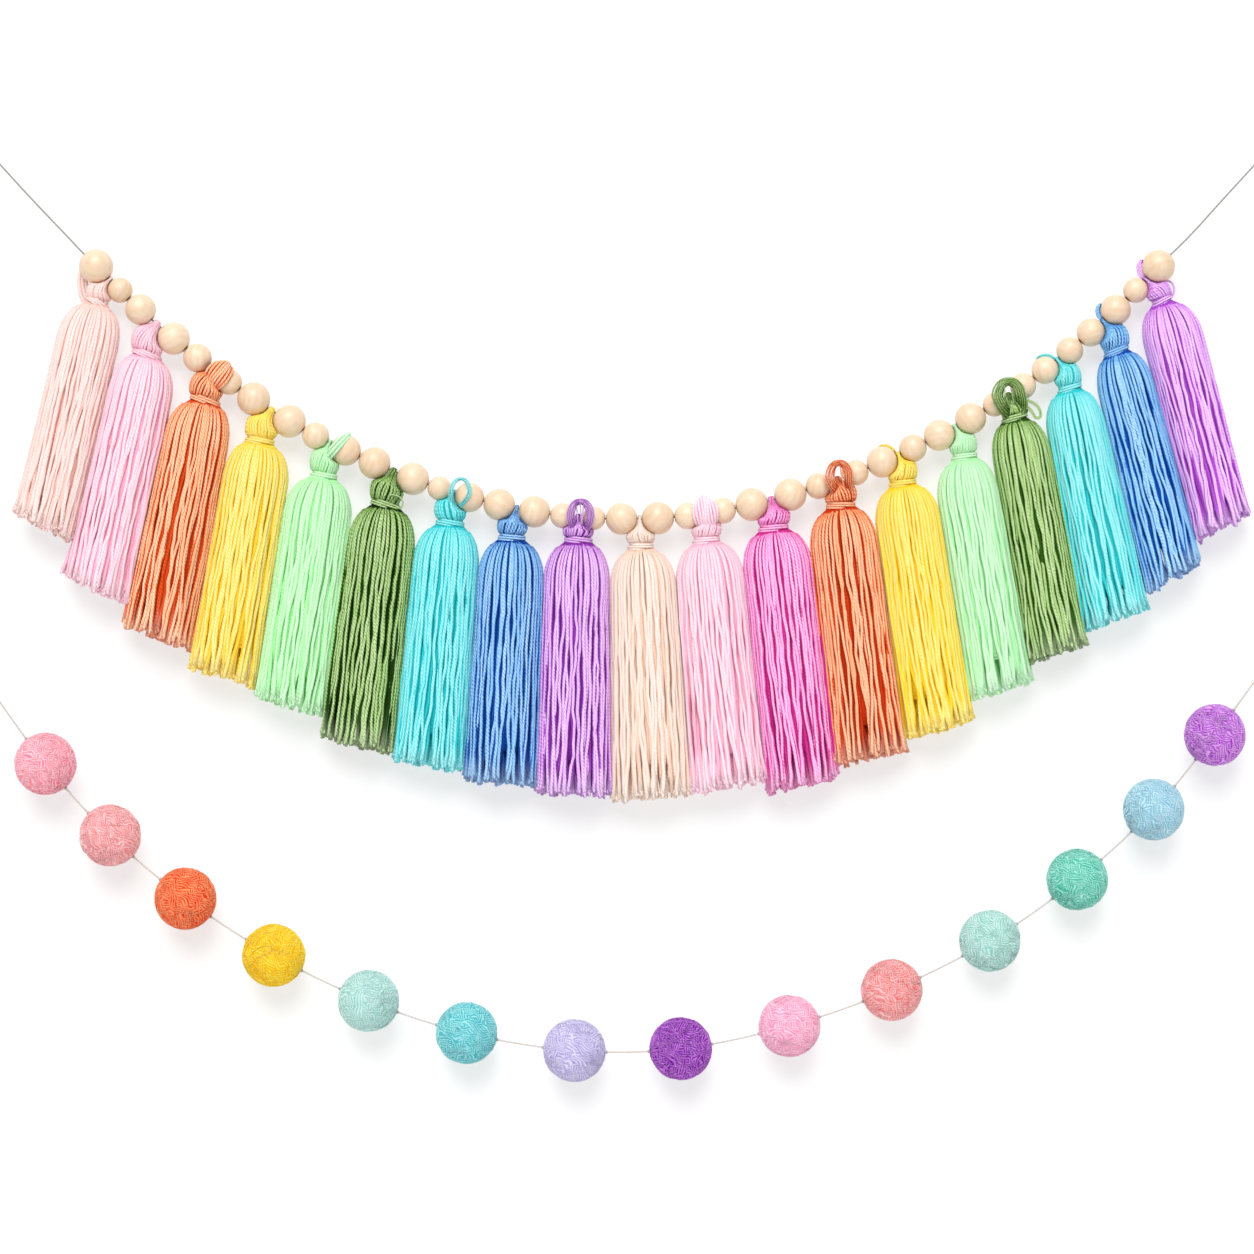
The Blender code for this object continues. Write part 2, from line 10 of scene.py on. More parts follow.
import bpy
import numpy as np
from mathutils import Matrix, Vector


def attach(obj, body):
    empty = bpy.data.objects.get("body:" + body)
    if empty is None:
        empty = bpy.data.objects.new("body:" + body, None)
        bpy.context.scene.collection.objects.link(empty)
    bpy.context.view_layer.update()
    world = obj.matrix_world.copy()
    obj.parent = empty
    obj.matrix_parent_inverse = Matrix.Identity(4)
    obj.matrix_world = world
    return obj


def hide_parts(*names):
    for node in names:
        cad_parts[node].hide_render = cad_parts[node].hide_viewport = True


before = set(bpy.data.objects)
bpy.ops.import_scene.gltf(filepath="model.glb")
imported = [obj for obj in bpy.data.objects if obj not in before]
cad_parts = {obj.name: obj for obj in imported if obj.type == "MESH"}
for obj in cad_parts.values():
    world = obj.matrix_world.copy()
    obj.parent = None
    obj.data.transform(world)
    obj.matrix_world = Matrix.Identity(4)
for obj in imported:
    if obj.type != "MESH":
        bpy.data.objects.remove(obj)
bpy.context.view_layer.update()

MM = 0.001
SEED = 19

# Hanging loops, strings and wall, as in the solids
HANG_SPAN = 631.5 * MM
LOWER_LEFT_DROP = 256.1 * MM
LOWER_RIGHT_DROP = 245.8 * MM
LOOP_RADIUS = 5.5 * MM
LOOP_CORD_RADIUS = 0.7 * MM
KNOT_REACH = 6.7 * MM
STRING_RADIUS = 0.45 * MM
ROUTE_STEPS = 24
BORE_RADIUS = 1.3 * MM
WALL_Y = 9.5 * MM
LOWER_STRING_Y = -5.7 * MM
FIRST_BEAD_STATION = 76.0 * MM

# Tassels, as in the solids
BINDING_BELOW = 2.0 * MM
BINDING_ABOVE = 1.9 * MM
WAIST_RATIO = 0.80
HEAD_BEND = 2.0
NECK_RADIUS = 2.1 * MM
NECK_RISE = 1.4 * MM
DOME_HEIGHT = 20 * MM
DOME_ROUNDNESS = 2.0
SKIRT_FRONT = 12.0 * MM
SKIRT_BACK = WALL_Y - 0.5 * MM
OUTER_HALF_AT_WAIST = 16.0 * MM
OUTER_HALF_AT_FOOT = 16.4 * MM
FOOT_TILT = 0.9

# Yarns fill the room between the beads and between the skirts more closely than the solids do.
# Heads: rows of height and width, as shares of the head's
HEAD_RINGS = ((0.22, 0.95), (0.42, 1.04), (0.60, 1.00), (0.76, 0.80), (0.88, 0.46))
SEAT_GAP = 0.1 * MM
SKIRT_OVERLAP = 0.8 * MM

# Upper string, left to right: x and z in millimetres
UPPER_ROUTE = (
    (6.2, -6.4), (25.2, -27.2), (41.7, -44.6), (58.7, -62.3), (80.5, -83.4), (107.7, -106.5),
    (134.3, -125.9), (163.0, -143.1), (193.0, -157.1), (224.1, -169.3), (254.1, -177.5),
    (283.2, -182.6), (312.8, -184.3), (345.3, -182.8), (376.4, -177.3), (408.9, -168.3),
    (439.4, -156.7), (466.1, -144.3), (493.2, -129.3), (519.4, -111.5), (538.8, -95.5),
    (557.8, -78.1), (572.3, -63.0), (588.8, -46.8), (605.8, -28.1), (625.6, -6.6),
)

# Felt balls on the lower string, left to right: middle x and z, and diameter, in millimetres
Ball = namedtuple("Ball", "x z diameter colour")
FELT_BALLS = (
    Ball(34.3, -302.9, 29.6, (0.93, 0.41, 0.49)),
    Ball(65.7, -337.5, 29.4, (0.89, 0.41, 0.42)),
    Ball(102.0, -368.1, 29.6, (0.87, 0.155, 0.035)),
    Ball(144.7, -395.6, 30.0, (0.90, 0.59, 0.008)),
    Ball(190.6, -417.6, 29.4, (0.44, 0.69, 0.65)),
    Ball(238.1, -433.1, 29.4, (0.17, 0.60, 0.64)),
    Ball(290.3, -441.6, 30.0, (0.55, 0.50, 0.75)),
    Ball(341.7, -440.7, 30.0, (0.35, 0.05, 0.51)),
    Ball(394.3, -429.7, 29.6, (0.89, 0.44, 0.60)),
    Ball(443.8, -412.3, 29.4, (0.85, 0.35, 0.35)),
    Ball(491.3, -388.5, 29.4, (0.42, 0.68, 0.63)),
    Ball(533.5, -358.9, 29.4, (0.18, 0.61, 0.50)),
    Ball(570.5, -325.0, 29.4, (0.37, 0.63, 0.74)),
    Ball(600.1, -288.9, 29.4, (0.57, 0.19, 0.70)),
)
LOWER_START = (5.3, -263.3)
LOWER_END = (626.5, -253.2)

# Tassels, left to right, in millimetres and degrees: the beads on each side of its place on the
# string, the room between them, the way from the string to the waist, the skirt's lean and
# length, and the head's width
Tassel = namedtuple("Tassel", "left_bead gap right_bead shift drop lean length head colour")
TASSELS = (
    Tassel(16.6, 2.0, 12.2, -5.8, 11.0, -13.0, 110.5, 13.0, (0.95, 0.68, 0.63)),
    Tassel(15.0, 6.0, 15.8, -4.7, 15.0, -13.2, 114.8, 16.8, (0.95, 0.62, 0.72)),
    Tassel(14.0, 6.2, 12.4, -4.2, 14.4, -10.8, 115.6, 17.0, (0.97, 0.43, 0.19)),
    Tassel(16.2, 4.4, 16.0, -5.7, 14.9, -9.2, 114.2, 16.0, (0.95, 0.72, 0.13)),
    Tassel(13.2, 2.0, 15.0, -2.9, 16.1, -8.6, 111.3, 14.5, (0.49, 0.86, 0.48)),
    Tassel(15.6, 4.4, 15.8, -3.8, 16.3, -7.2, 115.4, 16.5, (0.29, 0.51, 0.12)),
    Tassel(11.8, 2.0, 14.4, -1.5, 14.8, -4.7, 116.3, 15.5, (0.155, 0.77, 0.80)),
    Tassel(15.4, 2.0, 15.4, -2.5, 14.3, -3.1, 116.9, 15.0, (0.18, 0.48, 0.88)),
    Tassel(12.2, 3.4, 11.4, -0.1, 11.1, -1.3, 121.3, 15.3, (0.76, 0.37, 0.87)),
    Tassel(15.4, 2.1, 15.8, 0.5, 13.6, 2.5, 119.7, 14.0, (0.85, 0.69, 0.59)),
    Tassel(13.0, 4.4, 12.8, 0.4, 13.0, 6.0, 118.1, 14.8, (0.92, 0.62, 0.72)),
    Tassel(16.0, 3.4, 15.8, 1.0, 13.7, 6.0, 124.0, 16.5, (0.97, 0.33, 0.73)),
    Tassel(12.6, 6.8, 12.4, 1.6, 12.6, 6.9, 121.4, 16.0, (0.97, 0.38, 0.155)),
    Tassel(15.2, 2.0, 13.4, 1.9, 13.9, 8.7, 118.8, 15.0, (0.92, 0.71, 0.10)),
    Tassel(15.2, 2.0, 15.2, 4.4, 14.5, 9.5, 112.8, 13.9, (0.51, 0.84, 0.51)),
    Tassel(11.6, 4.4, 12.8, 2.9, 10.8, 10.0, 114.3, 14.5, (0.34, 0.57, 0.15)),
    Tassel(13.4, 2.0, 13.2, 5.7, 13.6, 11.2, 112.5, 13.6, (0.175, 0.78, 0.80)),
    Tassel(13.8, 2.0, 14.8, 6.4, 14.5, 15.4, 111.3, 14.7, (0.17, 0.51, 0.91)),
    Tassel(12.2, 2.0, 16.0, 7.8, 10.7, 14.3, 111.6, 12.1, (0.82, 0.42, 0.92)),
)

# Tying yarn that lies over the string as a band, by tassel number, in millimetres and degrees,
# how narrow it is drawn above and behind, as a share of its width, and how pale it is
Saddle = namedtuple("Saddle", "along width reach slant drawn pale")
SADDLES = {
    3: Saddle(3.2, 12.0, 8.2, 0.0, 0.5, 0.0),
    5: Saddle(4.2, 4.4, 9.4, 15.0, 0.95, 0.6),
    11: Saddle(0.0, 12.6, 9.3, 0.0, 0.5, 0.3),
}

# Tying yarn that stands as a ring in front of the beads, by tassel number, in millimetres: how far
# along the string, its width, thickness, rise over the string and fall below it, its yarns and how
# pale they are, and the strands that cross its opening, as shares of its width at top and foot
YarnLoop = namedtuple("YarnLoop", "along width thickness rise fall yarns pale strands")
YARN_LOOPS = {
    7: YarnLoop(3.8, 11.2, 2.4, 7.4, 6.5, 3, 0.9, ()),
    9: YarnLoop(1.0, 13.8, 4.4, 9.0, 6.5, 5, 0.1, ((-0.8, -0.4), (-0.1, 0.3), (0.6, 0.2))),
    13: YarnLoop(0.5, 13.6, 4.6, 9.4, 6.0, 5, 0.0, ((0.2, 0.9), (0.8, 0.6))),
    16: YarnLoop(-0.6, 17.0, 6.2, 8.5, 9.4, 6, 0.0, ((-0.9, -0.5), (0.9, 0.5))),
}

# Tying yarn that peeks out behind a bead, by tassel number: the bead, the angles round it from
# the right, in degrees, and how far the yarns' middle stands off it, in millimetres
Arc = namedtuple("Arc", "bead start end clearance")
ARCS = {
    14: Arc("left", 115, 15, 0.0),
    17: Arc("left", 140, 15, 0.2),
    18: Arc("right", 150, 225, 1.1),
    19: Arc("right", 150, 235, 1.4),
}
ARC_YARN = 0.55 * MM
ARC_STEPS = 30

# Yarns that have slipped out side by side, by tassel number: how many, how far in front of the
# string they lie, their radius, and their way in x and z, in millimetres
Stray = namedtuple("Stray", "yarns front radius route")
STRAYS = {
    1: Stray(3, -4.2, 1.0, ((55.0, -58.0), (52.4, -63.0), (51.2, -68.0), (51.6, -73.0), (53.6, -79.0))),
    6: Stray(1, 7.6, 0.45, ((201.0, -172.5), (205.4, -173.6), (207.3, -176.3), (206.4, -179.2),
                            (203.9, -178.4))),
    16: Stray(2, 5.0, 0.42, ((507.0, -126.4), (511.0, -127.6), (514.2, -129.8), (515.7, -132.6),
                             (515.5, -135.2), (513.4, -135.2), (511.6, -132.4), (508.6, -129.4))),
    19: Stray(1, -3.0, 0.5, ((573.0, -70.5), (577.0, -68.6), (580.3, -69.6), (581.4, -73.2),
                             (580.0, -76.6), (575.5, -79.0))),
}
STRAY_STEPS = 30

# How a tassel is bound: the turns' slant beyond the skirt's, by tassel number, in degrees
SLANTS = {1: -22, 2: -10, 3: -9, 6: -10, 7: -4, 9: -4, 13: -5, 16: 7, 17: 8, 18: 9, 19: 16}
BINDING_TURNS = 2.3
BINDING_YARN = 0.66 * MM
BINDING_START = math.radians(200)
BINDING_STEPS = 44
BINDING_SIDES = 7

# The yarns of a skirt, from its outside in: how many, how far out, where they start as a share of
# its length, how finely each is made, how deep in the skirt's painted shade they lie, and the plies of
# their cut ends
Layer = namedtuple("Layer", "yarns reach start sides rings depth plies")
LAYERS = (
    Layer(46, 1.00, 0.0, 6, 28, 0.0, 3),
    Layer(34, 0.91, 0.0, 5, 16, 0.36, 2),
    Layer(20, 0.64, 0.8, 4, 4, 0.5, 2),
)
YARN_RADIUS = 1.04 * MM
YARN_PRESS = 1.06
YARN_SIZES = (0.88, 1.12)
SKIRT_START = 0.2 * MM
RINGS_CROWD_UP = 1.3

# How loosely the yarns of a skirt lie: waves along its face and into it, as height and length,
# each yarn's own way along the face and out of it, and both of these near its foot
LOOSE_FROM = 8 * MM
LOOSE_OVER = 30 * MM
SWAYS = ((0.5 * MM, 52 * MM), (0.28 * MM, 17 * MM))
SINK = (0.45 * MM, 60 * MM)
OWN_DRIFT = 1.1 * MM
OWN_SINK = 0.4 * MM
LIFTED_YARNS = 0.14
LIFT = 0.7 * MM
FEET_LOOSEN_AT = 45 * MM
FOOT_SWAY = 1.7 * MM
FOOT_LIFT = 0.9 * MM
LENGTH_SPREAD = 1.1 * MM
LONGEST_SPREAD = 2.4 * MM

# A yarn's cut end: how it widens and pales toward it, and the plies that spread out of it
FLARE = 0.22
FLARE_LENGTH = 7 * MM
PALE_LENGTH = 14 * MM
PLY_SIDES = 4
PLY_LENGTH = (0.3 * MM, 1.5 * MM)
PLY_SPREAD = (0.45, 0.9)
PLY_SWELL = (0.60, 0.70, 0.52)

# The packed middle of a skirt
PACKED_REACH = 0.80
PACKED_LENGTH = 0.88
PACKED_SIDES = 20
PACKED_RINGS = 12

# The twist of a yarn
YARN_TWIST = 7.2 * MM
YARN_PLIES = 4

# The yarns of a head
HEAD_YARNS = 28
HEAD_STEPS = 20
HEAD_TWIST = 0.9
HEAD_YARN = 0.88 * MM
HEAD_YARN_THINNEST = 0.36 * MM
HEAD_YARN_SIDES = 5
HEAD_THINNEST = 0.3 * MM
CORE_SIDES = 12
CORE_INSET = 1.25

# Rings and bands of tying yarn
RING_STEPS = 40
RING_TOP = 0.62
RING_SINK = 0.6
RING_SHADE = 0.08
RING_DIVE = 2.6 * MM
RING_FEET_APART = 0.2
STRAND_RADIUS = 0.34 * MM
STRAND_STEPS = 10
LOOSE_YARN_SIDES = 6
SADDLE_STEPS = 28
SADDLE_PITCH = 1.45 * MM

# Wooden beads
BEAD_SEGMENTS = 28
BEAD_BANDS = 14
BEAD_RIM = 0.35 * MM
BORE_STEPS = 3

# Felt balls
FELT_DETAIL = 5
FIBRES_PER_BALL = 300
FIBRE_RADIUS = 0.16 * MM
FIBRE_STEPS = 7
FIBRE_SIDES = 3
FIBRE_BURIED = 0.012

# A ball's lumps, as waves round it and their height as a share of its radius, each in a few
# directions, and the curls that its material shows: the scale of their lines, their ways, and where
# in the noise the patches of the second and third way start
FELT_LUMPS = ((3.0, 0.010), (7.0, 0.006), (15.0, 0.004), (31.0, 0.0035))
LUMP_DIRECTIONS = 5
FELT_LINES = 290.0
FELT_CURLS = ("X", "Z", "DIAGONAL")
PATCH_STARTS = (0.44, 0.56)

# Strings, the knots beside each ball, and the hanging loops with their whipping and tail, whose
# way down is rows of millimetres aside, forward and down
PLIES = 2
PLY_DEPTH = 0.16
TWIST_PITCH = 3.4 * MM
RINGS_PER_TURN = 5
STRING_SIDES = 6
KNOT_STEPS = 20
KNOT_TURNS = 2
KNOT_YARN = 0.32 * MM
KNOT_RADIUS = 0.55 * MM
KNOT_LENGTH = 0.9 * MM
LOOP_STEPS = 60
WHIPPING_STEPS = 64
WHIPPING_TURNS = 3
WHIPPING_RADIUS = 1.25 * MM
WHIPPING_LENGTH = 2.6 * MM
WHIPPING_YARN = 0.52 * MM
STEM_RADIUS = 0.85 * MM
STEM_REACH = 1.9 * MM
TAIL = ((0.0, 0.0, 0.0), (2.2, 1.2, 1.0), (2.6, 1.4, 4.0), (2.0, 1.0, 7.5))
TAIL_STEPS = 18
TAIL_RADIUS = 0.5 * MM

# Camera, wall and light
PICTURE_MIDDLE = Vector((315.7, 0, -236.7)) * MM
PICTURE_WIDTH = 608.2 * MM
LENS = 135.0
SENSOR = 36.0
STAGE_GAP = 1.5 * MM
STAGE_HALF_WIDTH = 3.0
STAGE_TOP = 2.0
FLOOR_Z = -1.1
FLOOR_REACH = 3.0
STAGE_GREY = 0.40
STAGE_GLOW = 0.60
SKY = 0.28
Lamp = namedtuple("Lamp", "toward strength softness")
LAMPS = {"key": Lamp((0.12, 1.0, -0.92), 2.95, 0.75), "fill": Lamp((-0.5, 1.0, -0.1), 0.14, 0.9)}

# Directions
RIGHT, BACK, UP = np.eye(3)
FRONT = -BACK


# Curves, and the layout that the solids share

def smooth_path(points, count):
    """So many points on a smooth curve through a few points, or through rows of numbers."""
    knots = np.array(points, float)
    knots = np.concatenate((2 * knots[:1] - knots[1:2], knots, 2 * knots[-1:] - knots[-2:-1]))
    places = np.linspace(0, len(knots) - 3 - 1e-9, count)
    first = places.astype(int)
    t = (places - first)[:, None]
    before, start, end, after = (knots[first + step] for step in range(4))
    return 0.5 * (2 * start + (end - before) * t + (2 * before - 5 * start + 4 * end - after) * t ** 2
                  + (3 * start - before - 3 * end + after) * t ** 3)


def smooth_curve(route, y):
    """Points close together on one smooth curve through a route of x and z in millimetres."""
    knots = [Vector((x * MM, y, z * MM)) for x, z in route]
    knots = [2 * knots[0] - knots[1]] + knots + [2 * knots[-1] - knots[-2]]
    curve = []
    for before, start, end, after in zip(knots, knots[1:], knots[2:], knots[3:]):
        for step in range(ROUTE_STEPS):
            t = step / ROUTE_STEPS
            curve.append(0.5 * (2 * start + (end - before) * t
                                + (2 * before - 5 * start + 4 * end - after) * t ** 2
                                + (3 * start - before - 3 * end + after) * t ** 3))
    curve.append(knots[-2])
    return curve


def stations_of(curve):
    """The distance along the curve at each of its points."""
    stations = [0.0]
    for here, there in zip(curve, curve[1:]):
        stations.append(stations[-1] + (there - here).length)
    return stations


def points_at(curve, stations, places):
    """The points at these distances along a curve."""
    return np.stack([np.interp(places, stations, axis) for axis in zip(*curve)], axis=-1)


def point_at(curve, stations, station):
    return Vector(points_at(curve, stations, station))


Bead = namedtuple("Bead", "middle radius axis")
Layout = namedtuple("Layout", "row eye tangent waist foot down left right")


def lay_out_tassels(curve, stations):
    """Thread beads and tassels on the string one after another, and hang each tassel."""
    layouts = []
    station = FIRST_BEAD_STATION
    for row in TASSELS:
        if layouts:
            station += row.left_bead / 2 * MM
        left = point_at(curve, stations, station)
        station += (row.left_bead + row.gap) / 2 * MM
        eye = point_at(curve, stations, station)
        station += (row.gap + row.right_bead) / 2 * MM
        right = point_at(curve, stations, station)
        station += row.right_bead / 2 * MM
        waist = eye + Vector((row.shift * MM, 0, -row.drop * MM))
        lean = math.radians(row.lean)
        down = Vector((math.sin(lean), 0, -math.cos(lean)))
        foot = waist + down * row.length * MM
        tangent = (right - left).normalized()
        beads = (Bead(left, row.left_bead / 2 * MM, tangent), Bead(right, row.right_bead / 2 * MM, tangent))
        layouts.append(Layout(row, eye, tangent, waist, foot, down, *beads))
    return layouts


def across(direction):
    """The direction square to a line that runs down in the garland's plane, to its right."""
    return Vector((-direction.z, 0, direction.x))


def room_beside_bead(point, side, bead):
    """How far a head may swell to one side before it meets a bead."""
    to_bead = bead.middle - point
    along = to_bead.dot(side)
    reach = (bead.radius + SEAT_GAP) ** 2 - (to_bead.length_squared - along ** 2)
    if reach <= 0 or along <= 0:
        return math.inf
    return along - math.sqrt(reach)


def room_to_line(point, side, line_top, line_foot):
    """How far it is from a point to the line between two neighbouring skirts."""
    line = line_foot - line_top
    normal = Vector((line.z, 0, -line.x))
    return (line_top - point).dot(normal) / side.dot(normal)


def skirt_room(layouts, index, sign, station):
    """The half width that a skirt has on one side, so many metres below its waist."""
    here = layouts[index]
    other = index + sign
    if not 0 <= other < len(layouts):
        part = station / (here.row.length * MM)
        return OUTER_HALF_AT_WAIST + (OUTER_HALF_AT_FOOT - OUTER_HALF_AT_WAIST) * part
    neighbour = layouts[other]
    point = here.waist + here.down * station
    room = room_to_line(point, across(here.down) * sign,
                        (here.waist + neighbour.waist) / 2, (here.foot + neighbour.foot) / 2)
    return room + SKIRT_OVERLAP / 2


# Tubes: yarns, strings and fibres

def unit(vectors):
    return vectors / np.linalg.norm(vectors, axis=-1, keepdims=True)


def spokes_at(angles, first, second):
    """Directions at these angles from a first direction to a second one, square to it."""
    return np.array(first) * np.cos(angles)[..., None] + np.array(second) * np.sin(angles)[..., None]


def directions_along(paths, normals):
    """At each ring of each path its direction, and two directions square to it that turn little."""
    along = unit(np.gradient(paths, axis=1))
    first = np.empty_like(paths)
    normal = np.array(normals, float)
    for ring in range(paths.shape[1]):
        tangent = along[:, ring]
        normal = unit(normal - tangent * np.sum(normal * tangent, axis=1, keepdims=True))
        first[:, ring] = normal
    return along, first, np.cross(along, first)


class Piece:
    """Grids of points that are gathered into one mesh, with fibre coordinates and tones.

    A tone is how deep a point lies, which the materials paint as shade, how pale it is made, and a number
    of the yarn's own.
    """

    def __init__(self):
        self.points = []
        self.tones = []
        self.faces = []
        self.fibre = []
        self.count = 0

    def add_grid(self, points, tones, lengths, closed=False):
        """Points of shape (tubes, rings, sides, 3). Each tube is capped unless it is closed."""
        tubes, rings, sides, _ = points.shape
        index = self.count + np.arange(tubes * rings * sides).reshape(tubes, rings, sides)
        self.count += index.size
        beside = np.roll(index, -1, axis=2)
        ends = lengths[:, 1:]
        if closed:
            closing = lengths[:, -1:] + lengths[:, 1:2]
            quads = np.stack((index, beside, np.roll(beside, -1, 1), np.roll(index, -1, 1)), -1)
            starts, ends = lengths, np.concatenate((ends, closing), axis=1)
        else:
            quads = np.stack((index[:, :-1], beside[:, :-1], beside[:, 1:], index[:, 1:]), -1)
            starts = lengths[:, :-1]
        round_here = np.broadcast_to(np.arange(sides) / sides, quads.shape[:3])
        round_there = round_here + 1 / sides
        low = np.broadcast_to(starts[:, :, None], quads.shape[:3])
        high = np.broadcast_to(ends[:, :, None], quads.shape[:3])
        corners = ((round_here, low), (round_there, low), (round_there, high), (round_here, high))
        fibre = np.stack([np.stack(corner, -1) for corner in corners], axis=3)
        self.faces.extend(quads.reshape(-1, 4).tolist())
        self.fibre.append(fibre.reshape(-1, 2))
        if not closed:
            caps = np.concatenate((index[:, 0, ::-1], index[:, -1]))
            self.faces.extend(caps.tolist())
            self.fibre.append(np.zeros((caps.size, 2)))
        self.points.append(points.reshape(-1, 3))
        self.tones.append(tones.reshape(-1, 3))

    def add_tubes(self, paths, radii, sides, normals, outward=None, depth=0.0, pale=0.0, own=None,
                  closed=False, plies=0, ply_depth=0.0, pitch=1.0):
        """Sweep tubes along paths of shape (tubes, rings, 3), with radii of shape (tubes, rings)."""
        along, first, second = directions_along(paths, normals)
        steps = np.linalg.norm(np.diff(paths, axis=1), axis=2)
        lengths = np.concatenate((np.zeros((len(paths), 1)), np.cumsum(steps, axis=1)), axis=1)
        angles = math.tau * np.arange(sides) / sides
        spokes = spokes_at(angles, first[:, :, None], second[:, :, None])
        sizes = np.broadcast_to(radii[:, :, None], spokes.shape[:3])
        if plies:
            turn = math.tau * lengths[:, :, None] / pitch
            sizes = sizes * (1 + ply_depth * np.cos(plies * (angles - turn)))
        tones = np.zeros(spokes.shape)
        # Painted shade: the side of a tube turned away from the outside, and any deep layer, gets a higher
        # depth tone, which the materials paint darker
        inward = 0.5 if outward is None else 0.5 - 0.5 * np.sum(spokes * outward[:, :, None], axis=3)
        tones[..., 0] = np.clip(depth + (1 - depth) * inward, 0, 1)
        tones[..., 1] = np.broadcast_to(pale, radii.shape)[:, :, None]
        tones[..., 2] = (0.5 if own is None else own[:, None, None])
        self.add_grid(paths[:, :, None] + spokes * sizes[..., None], tones, lengths, closed)

    def add_core(self, points, lengths):
        """A plain body that lies deep among yarns, painted all over in their full shade."""
        tones = np.zeros(points.shape)
        tones[..., 0] = 1.0
        self.add_grid(points, tones, lengths)

    def add_tube(self, path, radius, sides, normal, outward=None, **others):
        """Sweep one tube. Its radius and its way out are one for all rings, or one for each."""
        if outward is not None:
            outward = np.broadcast_to(outward, (1, len(path), 3))
        radii = np.broadcast_to(radius, (1, len(path)))
        self.add_tubes(path[None], radii, sides, np.array((normal,)), outward, **others)

    def build(self, name, finish):
        mesh = bpy.data.meshes.new(name)
        mesh.from_pydata(np.concatenate(self.points).tolist(), [], self.faces)
        fibre = mesh.uv_layers.new(name="fibre")
        fibre.data.foreach_set("uv", np.concatenate(self.fibre).astype(np.float32).ravel())
        tones = np.pad(np.concatenate(self.tones), ((0, 0), (0, 1)), constant_values=1.0)
        tone = mesh.attributes.new("tone", "FLOAT_COLOR", "POINT")
        tone.data.foreach_set("color", tones.astype(np.float32).ravel())
        mesh.shade_smooth()
        mesh.materials.append(finish)
        return add_object(name, mesh)


def add_object(name, data):
    made = bpy.data.objects.new(name, data)
    bpy.context.scene.collection.objects.link(made)
    return made


def place(piece, slot, *nodes):
    """A piece of the garland: it rides on its one body and stands for its solids."""
    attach(piece, "root")
    if nodes:
        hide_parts(*nodes)
    return piece


# Tassels

def dome(stations):
    """How far a skirt has swollen from its waist to its full width."""
    part = np.clip((stations - BINDING_BELOW) / (DOME_HEIGHT - BINDING_BELOW), 0, 1)
    return (1 - (1 - part) ** DOME_ROUNDNESS) ** (1 / DOME_ROUNDNESS)


def even_angles(count, half_width, front, back):
    """Angles round an oval whose points lie evenly along its edge."""
    angle = np.linspace(0, math.tau, 721)
    depth = np.where(np.sin(angle) < 0, front, back)
    edge = np.column_stack((np.cos(angle) * half_width, np.sin(angle) * depth))
    length = np.concatenate(((0,), np.cumsum(np.linalg.norm(np.diff(edge, axis=0), axis=1))))
    return np.interp(np.arange(count) * length[-1] / count, length, angle)


def skirt_edge(layouts, index, station, cosine, sine):
    """How far a skirt reaches from its middle line, across and in depth, on each yarn's side."""
    waist_radius = layouts[index].row.head / 2 * MM * WAIST_RATIO
    rooms = [skirt_room(layouts, index, sign, 0) for sign in (-1, 1)]
    slopes = [(skirt_room(layouts, index, sign, 0.1) - room) / 0.1 for sign, room in zip((-1, 1), rooms)]
    room = np.where(cosine > 0, rooms[1] + slopes[1] * station, rooms[0] + slopes[0] * station)
    depth = np.where(sine < 0, SKIRT_FRONT, SKIRT_BACK)
    swell = dome(station)
    return waist_radius + (room - waist_radius) * swell, waist_radius + (depth - waist_radius) * swell


def wander(draw, station, height, wavelength):
    """A slow wave along each yarn, of its own phase and length."""
    count = len(station)
    waves = wavelength * draw.uniform(0.75, 1.35, count)[:, None]
    phase = draw.uniform(0, math.tau, count)[:, None]
    return height * draw.uniform(0.4, 1.4, count)[:, None] * np.sin(math.tau * station / waves + phase)


def near_end(station, length, reach):
    """From 0 to 1 along the last stretch of each yarn."""
    return np.clip((station - length) / reach + 1, 0, 1) ** 2


def loose_ways(draw, station, length, part, sine):
    """How far each yarn lies out of its line: round the skirt, and out of its face."""
    count = len(station)
    loose = np.clip((station - LOOSE_FROM) / LOOSE_OVER, 0, 1)
    ending = near_end(station, length, FEET_LOOSEN_AT)
    lifted = (draw.random(count) < LIFTED_YARNS)[:, None]
    sway = sum(wander(draw, station, *wave) for wave in SWAYS)
    drift = draw.normal(0, OWN_DRIFT, count)[:, None] * part ** 1.5 * (1 + lifted)
    sink = -np.abs(wander(draw, station, *SINK)) - draw.uniform(0, OWN_SINK, count)[:, None]
    sink = sink * (0.25 + 0.75 * np.abs(sine)) + lifted * LIFT
    sway = sway * loose + drift + draw.normal(0, FOOT_SWAY, count)[:, None] * ending
    return sway, sink * loose + draw.uniform(-FOOT_LIFT, FOOT_LIFT, count)[:, None] * ending


